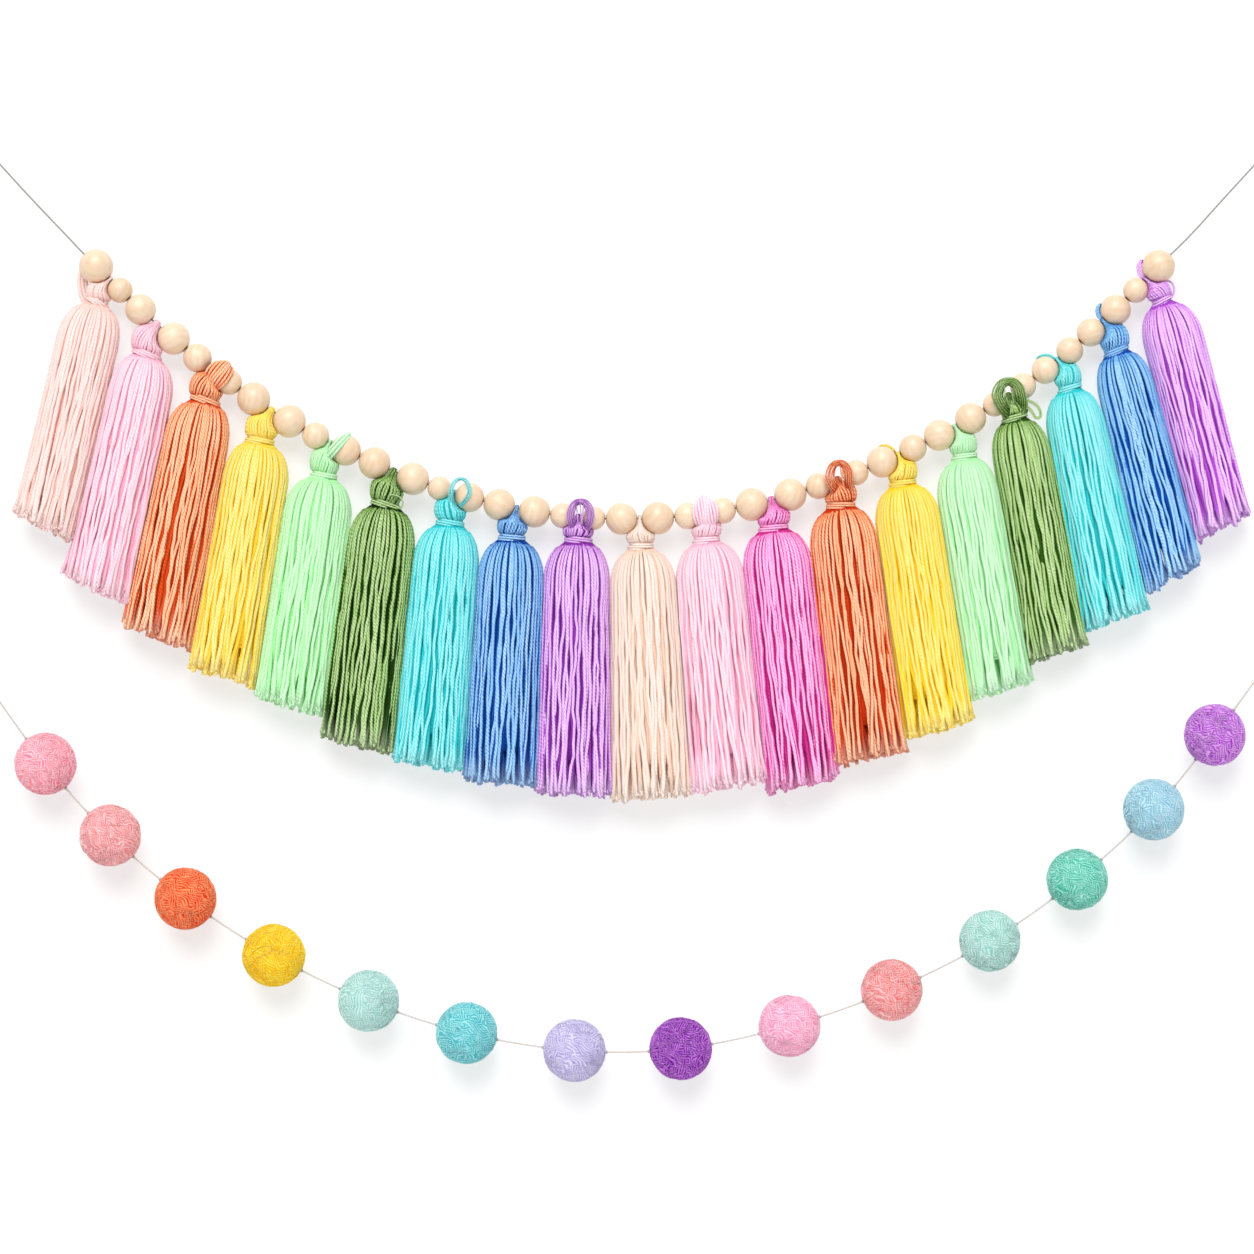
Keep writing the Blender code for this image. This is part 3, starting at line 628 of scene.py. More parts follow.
def add_skirt_layer(piece, layouts, index, layer, draw):
    """One layer of a skirt's yarns, down to their cut ends."""
    here = layouts[index]
    row = here.row
    count = layer.yarns
    side, down = np.array(across(here.down)), np.array(here.down)
    angles = even_angles(count, OUTER_HALF_AT_FOOT, SKIRT_FRONT, SKIRT_BACK)
    angles = angles + draw.uniform(-0.3, 0.3, count) * math.tau / count
    cosine, sine = np.cos(angles)[:, None], np.sin(angles)[:, None]
    tilt = math.tan(math.radians(row.lean) * FOOT_TILT)
    length = row.length * MM - cosine[:, 0] * OUTER_HALF_AT_FOOT * layer.reach * tilt
    length = length + np.clip(draw.normal(0, LENGTH_SPREAD, count), -LONGEST_SPREAD, LONGEST_SPREAD)
    length = length[:, None]
    part = np.linspace(0, 1, layer.rings) ** RINGS_CROWD_UP
    start = np.maximum(length * layer.start, SKIRT_START)
    station = start + (length - start) * part
    width, depth = skirt_edge(layouts, index, station, cosine, sine)
    size = draw.uniform(*YARN_SIZES, count)[:, None]
    radii = np.minimum(math.pi * (width + depth) / count / 2 * YARN_PRESS, YARN_RADIUS) * size
    outward = unit(side * (cosine / width)[..., None] + BACK * (sine / depth)[..., None])
    round_way = (BACK * cosine - side * sine)[:, None]
    width, depth = (width - radii) * layer.reach, (depth - radii) * layer.reach
    sway, lift = loose_ways(draw, station, length, part, sine)
    paths = (np.array(here.waist) + down * station[..., None] + side * (cosine * width)[..., None]
             + BACK * (sine * depth)[..., None] + outward * lift[..., None] + round_way * sway[..., None])
    paths[..., 1] = np.minimum(paths[..., 1], WALL_Y - radii)
    flare = 1 + FLARE * near_end(station, length, FLARE_LENGTH)
    pale = near_end(station, length, PALE_LENGTH)
    own = draw.uniform(0, 1, count)
    radii = radii * (1 + 0.06 * np.sin(wander(draw, station, 2.0, 9 * MM)))
    piece.add_tubes(paths, radii * flare, layer.sides, round_way[:, 0], outward,
                    layer.depth, pale, own)
    add_cut_ends(piece, paths, radii[:, -1] * flare[:, -1], layer, outward[:, -1], own, draw)


def add_packed_yarns(piece, layouts, index):
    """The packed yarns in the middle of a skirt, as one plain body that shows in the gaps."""
    here = layouts[index]
    angles = -np.arange(PACKED_SIDES)[:, None] * math.tau / PACKED_SIDES
    station = np.linspace(0.8 * BINDING_BELOW, here.row.length * MM * PACKED_LENGTH, PACKED_RINGS)
    cosine, sine = np.cos(angles), np.sin(angles)
    width, depth = skirt_edge(layouts, index, station, cosine, sine)
    points = (np.array(here.waist) + np.array(here.down) * station[:, None]
              + np.array(across(here.down)) * (cosine * width * PACKED_REACH)[..., None]
              + BACK * (sine * depth * PACKED_REACH)[..., None])
    # Painted shade: the core takes the full depth tone, so it shows in the gaps in the yarns' shade colour
    piece.add_core(np.swapaxes(points, 0, 1)[None], station[None])


def add_cut_ends(piece, paths, radii, layer, outward, own, draw):
    """The plies that spread out of each yarn's cut end."""
    plies = layer.plies
    ends = np.repeat(paths[:, -1], plies, axis=0)
    along = np.repeat(unit(paths[:, -1] - paths[:, -2]), plies, axis=0)
    radii = np.repeat(radii, plies)[:, None]
    count = len(ends)
    first = unit(np.cross(along, np.repeat(outward, plies, axis=0)))
    turn = np.tile(np.arange(plies) * math.tau / plies, len(paths)) + draw.uniform(0, 0.9, count)
    spoke = spokes_at(turn, first, np.cross(along, first))
    reach = draw.uniform(*PLY_LENGTH, count)[:, None]
    spread = draw.uniform(*PLY_SPREAD, count)[:, None]
    start = ends - along * MM + spoke * radii * 0.4
    middle = ends + along * reach * 0.5 + spoke * radii * 0.5
    tip = ends + along * reach + spoke * radii * spread
    tip[:, 1] = np.minimum(tip[:, 1], WALL_Y)
    sizes = radii * np.array(PLY_SWELL)
    outward = np.broadcast_to(spoke[:, None], (count, 3, 3))
    piece.add_tubes(np.stack((start, middle, tip), axis=1), sizes, PLY_SIDES, first, outward,
                    layer.depth, 1.0, np.repeat(own, plies))


def head_axis(here, height):
    """The head's middle at a share of its height, where it bends to the string, and its way up."""
    rise = here.eye - here.waist
    middle = here.waist + Vector((rise.x * height ** HEAD_BEND, 0, rise.z * height))
    up = Vector((rise.x * HEAD_BEND * height ** (HEAD_BEND - 1), 0, rise.z))
    return middle, up.normalized()


def head_profile(here):
    """From the binding to the top of the neck: middle, axis and radius, as rows of seven."""
    head_radius = here.row.head / 2 * MM
    rows = [(*(here.waist + here.down * 0.8 * MM), *(-here.down), head_radius * WAIST_RATIO),
            (*(here.waist - here.down * BINDING_ABOVE), *(-here.down), head_radius * WAIST_RATIO)]
    for height, share in HEAD_RINGS:
        middle, up = head_axis(here, height)
        rows.append((*middle, *up, head_radius * share))
    eye, up = head_axis(here, 1.0)
    rows.append((*eye, *up, NECK_RADIUS))
    rows.append((*(eye + up * NECK_RISE * 0.8), *up, NECK_RADIUS * 0.75))
    rows.append((*(eye + up * NECK_RISE), *up, NECK_RADIUS * 0.2))
    return smooth_path(rows, HEAD_STEPS)


def head_room(here, middle, sideways, radius):
    """A head's half width on one side, where a bead may be in the way."""
    bead = here.right if sideways.x > 0 else here.left
    return max(min(radius, room_beside_bead(middle, sideways, bead)), HEAD_THINNEST)


def head_section(here, row, angles, inset):
    """Points round a head at one height, so far inside its surface, and their ways out."""
    middle, axis, radius = Vector(row[:3]), Vector(row[3:6]).normalized(), max(row[6], HEAD_THINNEST)
    right = across(-axis)
    rooms = {sign: head_room(here, middle, right * sign, radius) for sign in (-1, 1)}
    width = np.where(np.cos(angles) > 0, rooms[1], rooms[-1])
    reach = np.array(right) * (np.cos(angles) * np.maximum(width - inset, 0.1 * MM))[:, None]
    reach[:, 1] = np.sin(angles) * max(radius - inset, 0.1 * MM)
    return np.array(middle) + reach, spokes_at(angles, right, BACK)


def add_head(piece, here, twist, draw):
    """The yarns that run from the binding up over the string, round a plain core."""
    profile = head_profile(here)
    paths = np.empty((HEAD_YARNS, HEAD_STEPS, 3))
    outward = np.empty_like(paths)
    radii = np.empty((HEAD_YARNS, HEAD_STEPS))
    core = np.empty((1, HEAD_STEPS, CORE_SIDES, 3))
    core_angles = -np.arange(CORE_SIDES) * math.tau / CORE_SIDES
    own_turn = np.arange(HEAD_YARNS) * math.tau / HEAD_YARNS
    for step, row in enumerate(profile):
        yarn = min(max(math.pi * row[6] / HEAD_YARNS * YARN_PRESS, HEAD_YARN_THINNEST), HEAD_YARN)
        angles = own_turn + twist * step / (HEAD_STEPS - 1)
        paths[:, step], outward[:, step] = head_section(here, row, angles, yarn)
        radii[:, step] = yarn
        core[0, step] = head_section(here, row, core_angles, yarn * CORE_INSET)[0]
    sway = unit(np.cross(outward, profile[:, 3:6]))
    paths += sway * draw.normal(0, 0.2 * MM, HEAD_YARNS)[:, None, None]
    radii *= draw.uniform(0.86, 1.12, HEAD_YARNS)[:, None]
    piece.add_tubes(paths, radii, HEAD_YARN_SIDES, sway[:, 0], outward,
                    own=draw.uniform(0, 1, HEAD_YARNS))
    # The head's core is painted in the yarns' full shade
    piece.add_core(core, np.linspace(0, 1, HEAD_STEPS)[None] * here.row.drop * MM)


def add_binding(piece, here, slant, draw):
    """Yarn wound tightly round the waist, its ends tucked under."""
    share = np.linspace(0, 1, BINDING_STEPS)
    angle = BINDING_START + math.tau * BINDING_TURNS * share
    height = BINDING_ABOVE - BINDING_YARN - (BINDING_ABOVE + BINDING_BELOW - 2 * BINDING_YARN) * share
    slant = math.radians(slant)
    down = here.down * math.cos(slant) + across(here.down) * math.sin(slant)
    tucked = np.clip(1 - 12 * np.minimum(share, 1 - share), 0, 1)
    radius = here.row.head / 2 * MM * WAIST_RATIO + (0.3 - 1.2 * tucked) * MM
    outward = spokes_at(angle, across(down), BACK)
    path = np.array(here.waist) - np.array(down) * height[:, None] + outward * radius[:, None]
    size = BINDING_YARN * (1 + 0.06 * np.sin(angle * 3.3))
    piece.add_tube(path, size, BINDING_SIDES, -down, outward, own=draw.uniform(0, 1, 1))


def ring_points(here, row, sideways, height):
    """Points of a ring of tying yarn: on the beads' fronts, then on the head and down into it."""
    thick = row.thickness / 2 * MM
    clear = max(here.left.radius, here.right.radius) + thick + SEAT_GAP
    below = np.clip(-height / (row.fall * MM), 0, 1)
    sideways = sideways + here.row.shift * MM * below
    off_string = height * here.tangent.x - sideways * here.tangent.z
    forward = np.sqrt(np.maximum(clear ** 2 - off_string ** 2, 0))
    on_head = np.maximum(forward, here.row.head / 2 * MM - thick * RING_SINK)
    forward = np.where(height < 0, on_head, forward) - RING_DIVE * below ** 3
    return np.array(here.eye) + np.column_stack((sideways, -forward, height))


def add_ring(piece, here, row, draw):
    """Yarns round the ring that stands on the beads' fronts, with their feet in the head.

    They lie close at the ring's top and part at its sides, and a few strands cross its opening.
    """
    thick = row.thickness / 2 * MM
    top, bottom = row.rise * MM - thick * RING_TOP, -row.fall * MM
    yarn = thick / row.yarns
    angle = np.linspace(-math.pi / 2 + RING_FEET_APART, 1.5 * math.pi - RING_FEET_APART, RING_STEPS)
    sideways = row.along * MM + (row.width / 2 * MM - thick) * np.cos(angle)
    middle = ring_points(here, row, sideways, (top + bottom) / 2 + (top - bottom) / 2 * np.sin(angle))
    apart = RING_TOP + (1 - RING_TOP) * np.where(np.sin(angle) > 0, np.abs(np.cos(angle)), 1.0)
    outward = spokes_at(angle, RIGHT, UP)
    for share in np.linspace(-1, 1, row.yarns):
        bulge = 0.7 * (1 - share ** 2) * (thick - yarn) + draw.normal(0, 0.15 * MM)
        weave = 0.12 * MM * np.sin(angle * 2.5 + draw.uniform(0, math.tau))
        path = middle + outward * (share * (thick - yarn) * apart + weave)[:, None] + FRONT * bulge
        facing = unit(FRONT + 0.4 * share * outward)
        size = yarn * draw.uniform(0.8, 0.95)
        piece.add_tube(path, size, LOOSE_YARN_SIDES, facing[0], facing, depth=RING_SHADE,
                       pale=row.pale, own=draw.uniform(0, 1, 1))
    inner = row.width / 2 * MM - 2 * thick
    for top_share, foot_share in row.strands:
        share = np.linspace(top_share, foot_share, STRAND_STEPS)
        height = np.linspace(row.rise * MM - thick, bottom * 0.8, STRAND_STEPS)
        path = ring_points(here, row, row.along * MM + share * inner, height)
        path[:, 1] += 0.5 * MM
        piece.add_tube(path, STRAND_RADIUS, 5, FRONT, FRONT, pale=0.5, own=draw.uniform(0, 1, 1))


def add_saddle(piece, here, row, draw):
    """A knob of yarns that come over the string between the beads and part in front of them."""
    yarns = max(round(row.width * MM / SADDLE_PITCH), 3)
    thin = row.width * MM / yarns / 2 * 1.15
    slant = math.radians(row.slant)
    along = Vector((here.tangent.x * math.cos(slant) + here.tangent.z * math.sin(slant), 0,
                    here.tangent.z * math.cos(slant) - here.tangent.x * math.sin(slant)))
    raised = across(-along)
    raised = np.array(raised if raised.z > 0 else -raised)
    middle = np.array(here.eye + here.tangent * row.along * MM)
    angle = np.linspace(0, math.tau, SADDLE_STEPS + 1)[:-1]
    front = np.maximum(np.sin(angle), 0)
    fan = row.drawn + (1 - row.drawn) * front
    outward = spokes_at(angle, raised, FRONT)
    half = row.width / 2 * MM - thin
    for share in np.linspace(-1, 1, yarns):
        offset = share * half * fan + 0.2 * MM * np.sin(angle * 2 + share * 5)
        reach = (row.reach * MM - thin) * (1 - share ** 2 * (0.42 - 0.27 * front))
        reach = reach + draw.normal(0, 0.1 * MM)
        station = row.along * MM + offset
        size = np.where(station > 0, here.right.radius, here.left.radius)
        inward = size + here.row.gap / 2 * MM - np.abs(station)
        surface = np.sqrt(np.maximum(size ** 2 - inward ** 2, 0))
        reach = np.maximum(reach, surface + thin + 0.1 * MM)
        path = middle + np.array(along) * offset[:, None] + outward * reach[:, None]
        facing = unit(outward + np.array(along) * share * 0.6)
        piece.add_tube(path, thin * (0.8 + 0.2 * fan), LOOSE_YARN_SIDES, along, facing, pale=row.pale,
                       own=draw.uniform(0, 1, 1), closed=True)


def add_arc(piece, here, row, draw):
    """Tying yarn that lies behind a bead and peeks out beside it."""
    middle, radius, _ = here.left if row.bead == "left" else here.right
    share = np.linspace(-1, 1, ARC_STEPS)
    angle = np.radians((row.start + row.end) / 2 + share * (row.end - row.start) / 2)
    for beside in (-1.0, 0.0, 1.0):
        reach = radius + row.clearance * MM - (row.clearance + 2.2) * MM * share ** 4
        reach = reach + beside * ARC_YARN * 1.5 * (1 - share ** 2)
        behind = np.sqrt(np.maximum((radius + ARC_YARN) ** 2 - reach ** 2, 0)) + ARC_YARN
        path = np.array(middle) + np.column_stack((reach * np.cos(angle), behind, reach * np.sin(angle)))
        piece.add_tube(path, ARC_YARN, LOOSE_YARN_SIDES, FRONT, FRONT, own=draw.uniform(0, 1, 1))


def add_stray(piece, stray):
    """Yarns that have slipped out of the head, side by side."""
    path = smooth_path([(x * MM, -stray.front * MM, z * MM) for x, z in stray.route], STRAY_STEPS)
    beside = unit(np.cross(np.gradient(path, axis=0), BACK))
    for number in np.arange(stray.yarns) - (stray.yarns - 1) / 2:
        way = path + beside * number * 1.8 * stray.radius * MM
        piece.add_tube(way, stray.radius * MM, LOOSE_YARN_SIDES, FRONT, FRONT, pale=0.4)


def build_tassel(layouts, index):
    here = layouts[index]
    number = index + 1
    draw = np.random.default_rng(SEED + number)
    piece = Piece()
    add_packed_yarns(piece, layouts, index)
    for layer in LAYERS:
        add_skirt_layer(piece, layouts, index, layer, draw)
    add_head(piece, here, HEAD_TWIST * (1 if index % 3 else -1), draw)
    add_binding(piece, here, SLANTS.get(number, 0), draw)
    for rows, add in ((SADDLES, add_saddle), (YARN_LOOPS, add_ring), (ARCS, add_arc)):
        if number in rows:
            add(piece, here, rows[number], draw)
    if number in STRAYS:
        add_stray(piece, STRAYS[number])
    slot = "yarn_%02d" % number
    made = piece.build("yarn_tassel_%02d" % number, yarn_material(slot, here.row.colour))
    return place(made, slot, "tassel_%02d" % number)


# Wooden beads

def bead_outline(radius):
    """Round the cut face of half a bored bead: down its outside, then up its bore."""
    start = math.asin((BORE_RADIUS + BEAD_RIM) / radius)
    angle = np.linspace(start, math.pi - start, BEAD_BANDS + 1)
    outside = np.column_stack((np.sin(angle), np.cos(angle))) * radius
    top = math.sqrt(radius ** 2 - BORE_RADIUS ** 2) - BEAD_RIM
    inside = np.column_stack((np.full(BORE_STEPS, BORE_RADIUS), np.linspace(-top, top, BORE_STEPS)))
    return np.concatenate((outside, inside))


def add_bead(piece, bead, draw):
    outline = bead_outline(bead.radius)
    turn = math.tau * np.arange(BEAD_SEGMENTS) / BEAD_SEGMENTS
    axis = np.array(bead.axis)
    first = unit(np.cross(axis, BACK))
    spoke = spokes_at(turn, first, np.cross(axis, first))
    points = (np.array(bead.middle) + spoke[:, None] * outline[:, :1] + axis * outline[:, 1:])[None]
    tones = np.zeros(points.shape)
    # Painted shade: the depth tone rises down the bore, where the wood is painted dark
    tones[..., 0] = np.clip((BORE_RADIUS * 1.6 - outline[:, 0]) / (BORE_RADIUS * 0.6), 0, 1)
    tones[..., 2] = draw.uniform(0, 1)
    piece.add_grid(points, tones, (turn * bead.radius)[None], closed=True)


def build_beads(layouts, finish):
    """The single beads at both ends and the touching pairs between tassels."""
    draw = np.random.default_rng(SEED)
    pairs = [(before.right, after.left) for before, after in zip(layouts, layouts[1:])]
    for number, beads in enumerate([(layouts[0].left,)] + pairs + [(layouts[-1].right,)]):
        piece = Piece()
        for bead in beads:
            add_bead(piece, bead, draw)
        place(piece.build("wooden_beads_%02d" % number, finish), "wood", "beads_%02d" % number)


# Felt balls

def build_felt_ball(number, ball, middle):
    draw = np.random.default_rng(SEED * 7 + number)
    slot = "felt_%02d" % number
    finish = felt_material(slot, ball.colour)
    radius = ball.diameter / 2 * MM
    bpy.ops.mesh.primitive_ico_sphere_add(subdivisions=FELT_DETAIL, radius=1.0)
    made = bpy.context.object
    made.name = "wool_ball_%02d" % number
    made.data.name = made.name
    corners = np.empty(len(made.data.vertices) * 3)
    made.data.vertices.foreach_get("co", corners)
    spokes = corners.reshape(-1, 3)
    size = radius * (1 + felt_relief(spokes, draw))
    corners = np.array(middle) + spokes * size[:, None]
    made.data.vertices.foreach_set("co", corners.astype(np.float32).ravel())
    made.data.update()
    made.data.shade_smooth()
    made.data.materials.append(finish)
    place(made, slot, "felt_ball_%02d" % number)
    curls = Piece()
    add_fibres(curls, middle, radius, draw)
    place(curls.build("wool_curls_%02d" % number, finish), slot)


def felt_relief(spokes, draw):
    """Soft lumps all over a ball, as shares of its radius, from waves in many directions."""
    relief = np.zeros(len(spokes))
    for waves, height in FELT_LUMPS:
        for _ in range(LUMP_DIRECTIONS):
            direction = unit(draw.normal(0, 1, 3))
            relief += height * np.sin(spokes @ direction * waves + draw.uniform(0, math.tau)) / 2
    return relief


def add_fibres(piece, middle, radius, draw):
    """Curly fibres that lie on a ball's surface."""
    count = FIBRES_PER_BALL
    spot = unit(draw.normal(0, 1, (count, 3)))
    heading = unit(np.cross(spot, draw.normal(0, 1, (count, 3))))
    bend = draw.uniform(-1, 1, count)[:, None] * 0.4
    step = draw.uniform(0.08, 0.15, count)[:, None]
    paths = np.empty((count, FIBRE_STEPS, 3))
    lift = draw.uniform(0.998, 1.012, count)[:, None]
    for index in range(FIBRE_STEPS):
        edge = min(index, FIBRE_STEPS - 1 - index)
        paths[:, index] = np.array(middle) + spot * radius * (lift - (FIBRE_BURIED if edge == 0 else 0))
        spot = unit(spot + heading * step)
        heading = unit(heading + np.cross(spot, heading) * bend)
        heading = unit(heading - spot * np.sum(heading * spot, axis=1, keepdims=True))
    sizes = np.full((count, FIBRE_STEPS), FIBRE_RADIUS) * draw.uniform(0.7, 1.3, count)[:, None]
    outward = unit(paths - np.array(middle))
    pale = draw.uniform(0.3, 1, count)[:, None]
    piece.add_tubes(paths, sizes, FIBRE_SIDES, outward[:, 0], outward, pale=pale)


# Strings, knots and hanging loops

def build_string(name, node, curve, stations, shaded, pale, finish):
    """A twisted string, darker along the stretch of it that beads shade."""
    places = np.linspace(0, stations[-1], int(stations[-1] / TWIST_PITCH * RINGS_PER_TURN) + 1)
    depth = np.where((places > shaded[0]) & (places < shaded[1]), 0.9, 0.0)[:, None]
    piece = Piece()
    piece.add_tube(points_at(curve, stations, places), STRING_RADIUS, STRING_SIDES, BACK, depth=depth,
                   pale=pale, plies=PLIES, ply_depth=PLY_DEPTH, pitch=TWIST_PITCH)
    made = place(piece.build(name, finish), "string", node)
    return made


def coil(middle, axis, radius, length, turns, count):
    """A short coil round a string."""
    axis = np.array(axis)
    angle = np.linspace(0, math.tau * turns, count)
    height = np.linspace(-length / 2, length / 2, count)
    return np.array(middle) + axis * height[:, None] + spokes_at(angle, BACK, np.cross(axis, BACK)) * radius


def build_ball_knots(curve, stations, finish):
    """The small knots that keep each felt ball in its place on the string."""
    piece = Piece()
    for number, ball in enumerate(FELT_BALLS, 1):
        station = stations[number * ROUTE_STEPS]
        for sign in (-1, 1):
            spot = station + sign * (ball.diameter / 2 + 0.5) * MM
            middle = point_at(curve, stations, spot)
            axis = (point_at(curve, stations, spot + MM) - middle).normalized()
            path = coil(middle, axis, KNOT_RADIUS, KNOT_LENGTH, KNOT_TURNS, KNOT_STEPS)
            piece.add_tube(path, KNOT_YARN, 5, axis, depth=0.3, pale=0.6)
    return place(piece.build("ball_knots", finish), "string")


def build_hanging_loop(name, centre, string_end, finish):
    """A ring of twisted cord, whipped together where the string begins, with a short tail."""
    to_string = (string_end - centre).normalized()
    sideways = Vector((-to_string.z, 0, to_string.x))
    start = math.atan2(to_string.z, to_string.x)
    angle = start + np.arange(LOOP_STEPS) * math.tau / LOOP_STEPS
    ring = np.array(centre) + LOOP_RADIUS * spokes_at(angle, RIGHT, UP)
    turns = round(math.tau * LOOP_RADIUS / TWIST_PITCH)
    piece = Piece()
    piece.add_tube(ring, LOOP_CORD_RADIUS * 0.94, STRING_SIDES, BACK, closed=True, plies=PLIES,
                   ply_depth=PLY_DEPTH, pitch=math.tau * LOOP_RADIUS / turns)
    knot = centre + to_string * KNOT_REACH
    whipping = coil(knot, to_string, WHIPPING_RADIUS, WHIPPING_LENGTH, WHIPPING_TURNS, WHIPPING_STEPS)
    piece.add_tube(whipping, WHIPPING_YARN, STRING_SIDES, to_string)
    stem = np.array([knot - to_string * STEM_REACH, string_end + to_string * MM])
    piece.add_tube(stem, STEM_RADIUS, 8, BACK)
    drop = [knot + (Vector((0, -forward, -down)) - sideways * aside) * MM for aside, forward, down in TAIL]
    piece.add_tube(smooth_path(drop, TAIL_STEPS), TAIL_RADIUS, STRING_SIDES, BACK, plies=PLIES,
                   ply_depth=PLY_DEPTH, pitch=TWIST_PITCH)
    return place(piece.build("cord_" + name, finish), "string", name)


# Materials

class Finish:
    """A material's node tree, built a node at a time."""

    def __init__(self, name):
        self.material = bpy.data.materials.new(name)
        self.material.use_nodes = True
        self.nodes = self.material.node_tree.nodes
        self.links = self.material.node_tree.links
        self.shader = self.nodes["Principled BSDF"]

    def add(self, kind, values=(), **settings):
        """A node with its settings, and its inputs by name or number: a value or a socket."""
        node = self.nodes.new("ShaderNode" + kind)
        for key, value in settings.items():
            setattr(node, key, value)
        for key, value in values:
            self.put(node, key, value)
        return node

    def put(self, node, key, value):
        socket = node.inputs[key]
        if isinstance(value, bpy.types.NodeSocket):
            self.links.new(value, socket)
        else:
            socket.default_value = (*value, 1.0) if socket.type == "RGBA" else value

    def maths(self, operation, *values):
        return self.add("Math", enumerate(values), operation=operation).outputs[0]

    def mix(self, factor, first, second):
        node = self.add("Mix", [(0, factor), (6, first), (7, second)], data_type="RGBA")
        return node.outputs[2]

    def stain(self, base, pattern, share, colour):
        """The base with a share of a colour where a pattern is strong."""
        return self.mix(self.maths("MULTIPLY", pattern, share), base, colour)

    def spot(self):
        """The place on the piece, which every pattern follows."""
        return self.add("TexCoord").outputs["Object"]

    def noise(self, spot, scale, detail):
        return self.add("TexNoise", [("Vector", spot), ("Scale", scale), ("Detail", detail)]).outputs[0]

    def wave(self, spot, scale, distortion, detail, **settings):
        values = [("Vector", spot), ("Scale", scale), ("Distortion", distortion), ("Detail", detail),
                  ("Detail Scale", 0.5)]
        return self.add("TexWave", values, **settings)

    def tones(self):
        tone = self.add("Attribute", attribute_name="tone")
        parts = self.add("SeparateColor", [(0, tone.outputs["Color"])])
        return parts.outputs[0], parts.outputs[1], parts.outputs[2]

    def ramp(self, factor, *stops):
        node = self.add("ValToRGB", [(0, factor)])
        for element, (position, shade) in zip(node.color_ramp.elements, stops):
            element.position = position
            element.color = (shade, shade, shade, 1)
        return node.outputs[0]

    def bump(self, height, distance, strength=1.0):
        node = self.add("Bump", [("Height", height), ("Distance", distance), ("Strength", strength)])
        self.links.new(node.outputs[0], self.shader.inputs["Normal"])

    def surface(self, colour, roughness, gloss, sheen=0.0, tint=(1.0, 1.0, 1.0)):
        for key, value in (("Base Color", colour), ("Roughness", roughness), ("Specular IOR Level", gloss),
                           ("Sheen Weight", sheen), ("Sheen Roughness", 0.3), ("Sheen Tint", tint)):
            self.put(self.shader, key, value)


def lightness(colour):
    red, green, blue = colour
    return 0.21 * red + 0.72 * green + 0.07 * blue


def deeper(colour):
    """The full shade between yarns. Pale yarns pass light on to each other, and dark ones hold it."""
    light = lightness(colour)
    share = min(max(2.4 * light + 0.5 * max(colour) - 1.03, 0.3), 1.1)
    power = min(max(6.2 - 6.4 * light, 1.3), 3.0)
    return tuple(min(share * part ** power, 0.96) for part in colour)


def paler(colour):
    """The colour of a yarn's lit ridge, and of its cut and fluffed end."""
    return tuple(part ** (0.20 + 0.27 * lightness(colour)) for part in colour)


def yarn_material(name, colour):
    """Soft spun yarn: slanting plies, a painted highlight on each ridge that faces out, and painted shade
    down in the gaps and in the plies' grooves.
    """
    finish = Finish(name)
    depth, pale, own = finish.tones()
    fibre = finish.add("UVMap", uv_map="fibre")
    parts = finish.add("SeparateXYZ", [(0, fibre.outputs[0])])
    turn = finish.maths("MULTIPLY_ADD", parts.outputs[1], 1 / YARN_TWIST, parts.outputs[0])
    wave = finish.maths("SINE", finish.maths("MULTIPLY", turn, YARN_PLIES * math.tau))
    spot = finish.spot()
    fluff = finish.noise(spot, 1500.0, 2.0)
    blotch = finish.noise(spot, 130.0, 2.0)
    lying = finish.maths("MULTIPLY_ADD", wave, 0.075, depth)
    lying = finish.maths("MULTIPLY_ADD", finish.maths("SUBTRACT", fluff, 0.5), 0.3, lying)
    shade_start = 0.02 + 0.18 * lightness(colour)
    shade = finish.ramp(lying, (shade_start, 0.0), (shade_start + 0.24, 1.0))
    # Painted highlight: the ridge of each yarn that faces out is given a paler colour
    ridge = finish.ramp(lying, (0.0, 1.0), (0.15, 0.0))
    base = finish.mix(shade, colour, deeper(colour))
    # Painted shade in the grooves between the plies
    groove_shade = finish.ramp(finish.maths("MULTIPLY_ADD", wave, 0.5, 0.5), (0.0, 1.0), (0.4, 0.0))
    base = finish.stain(base, groove_shade, 0.2, deeper(colour))
    # How strong the painted highlight on the ridge is, varying at random from yarn to yarn and along each
    highlight_share = finish.maths("MULTIPLY_ADD", finish.maths("ADD", own, blotch), 0.5, 0.2)
    base = finish.stain(base, ridge, highlight_share, paler(colour))
    base = finish.stain(base, pale, 0.4, paler(colour))
    finish.surface(base, 0.85, 0.12, 0.06, colour)
    finish.bump(finish.maths("MULTIPLY_ADD", wave, 0.4, fluff), 0.16 * MM)
    return finish.material


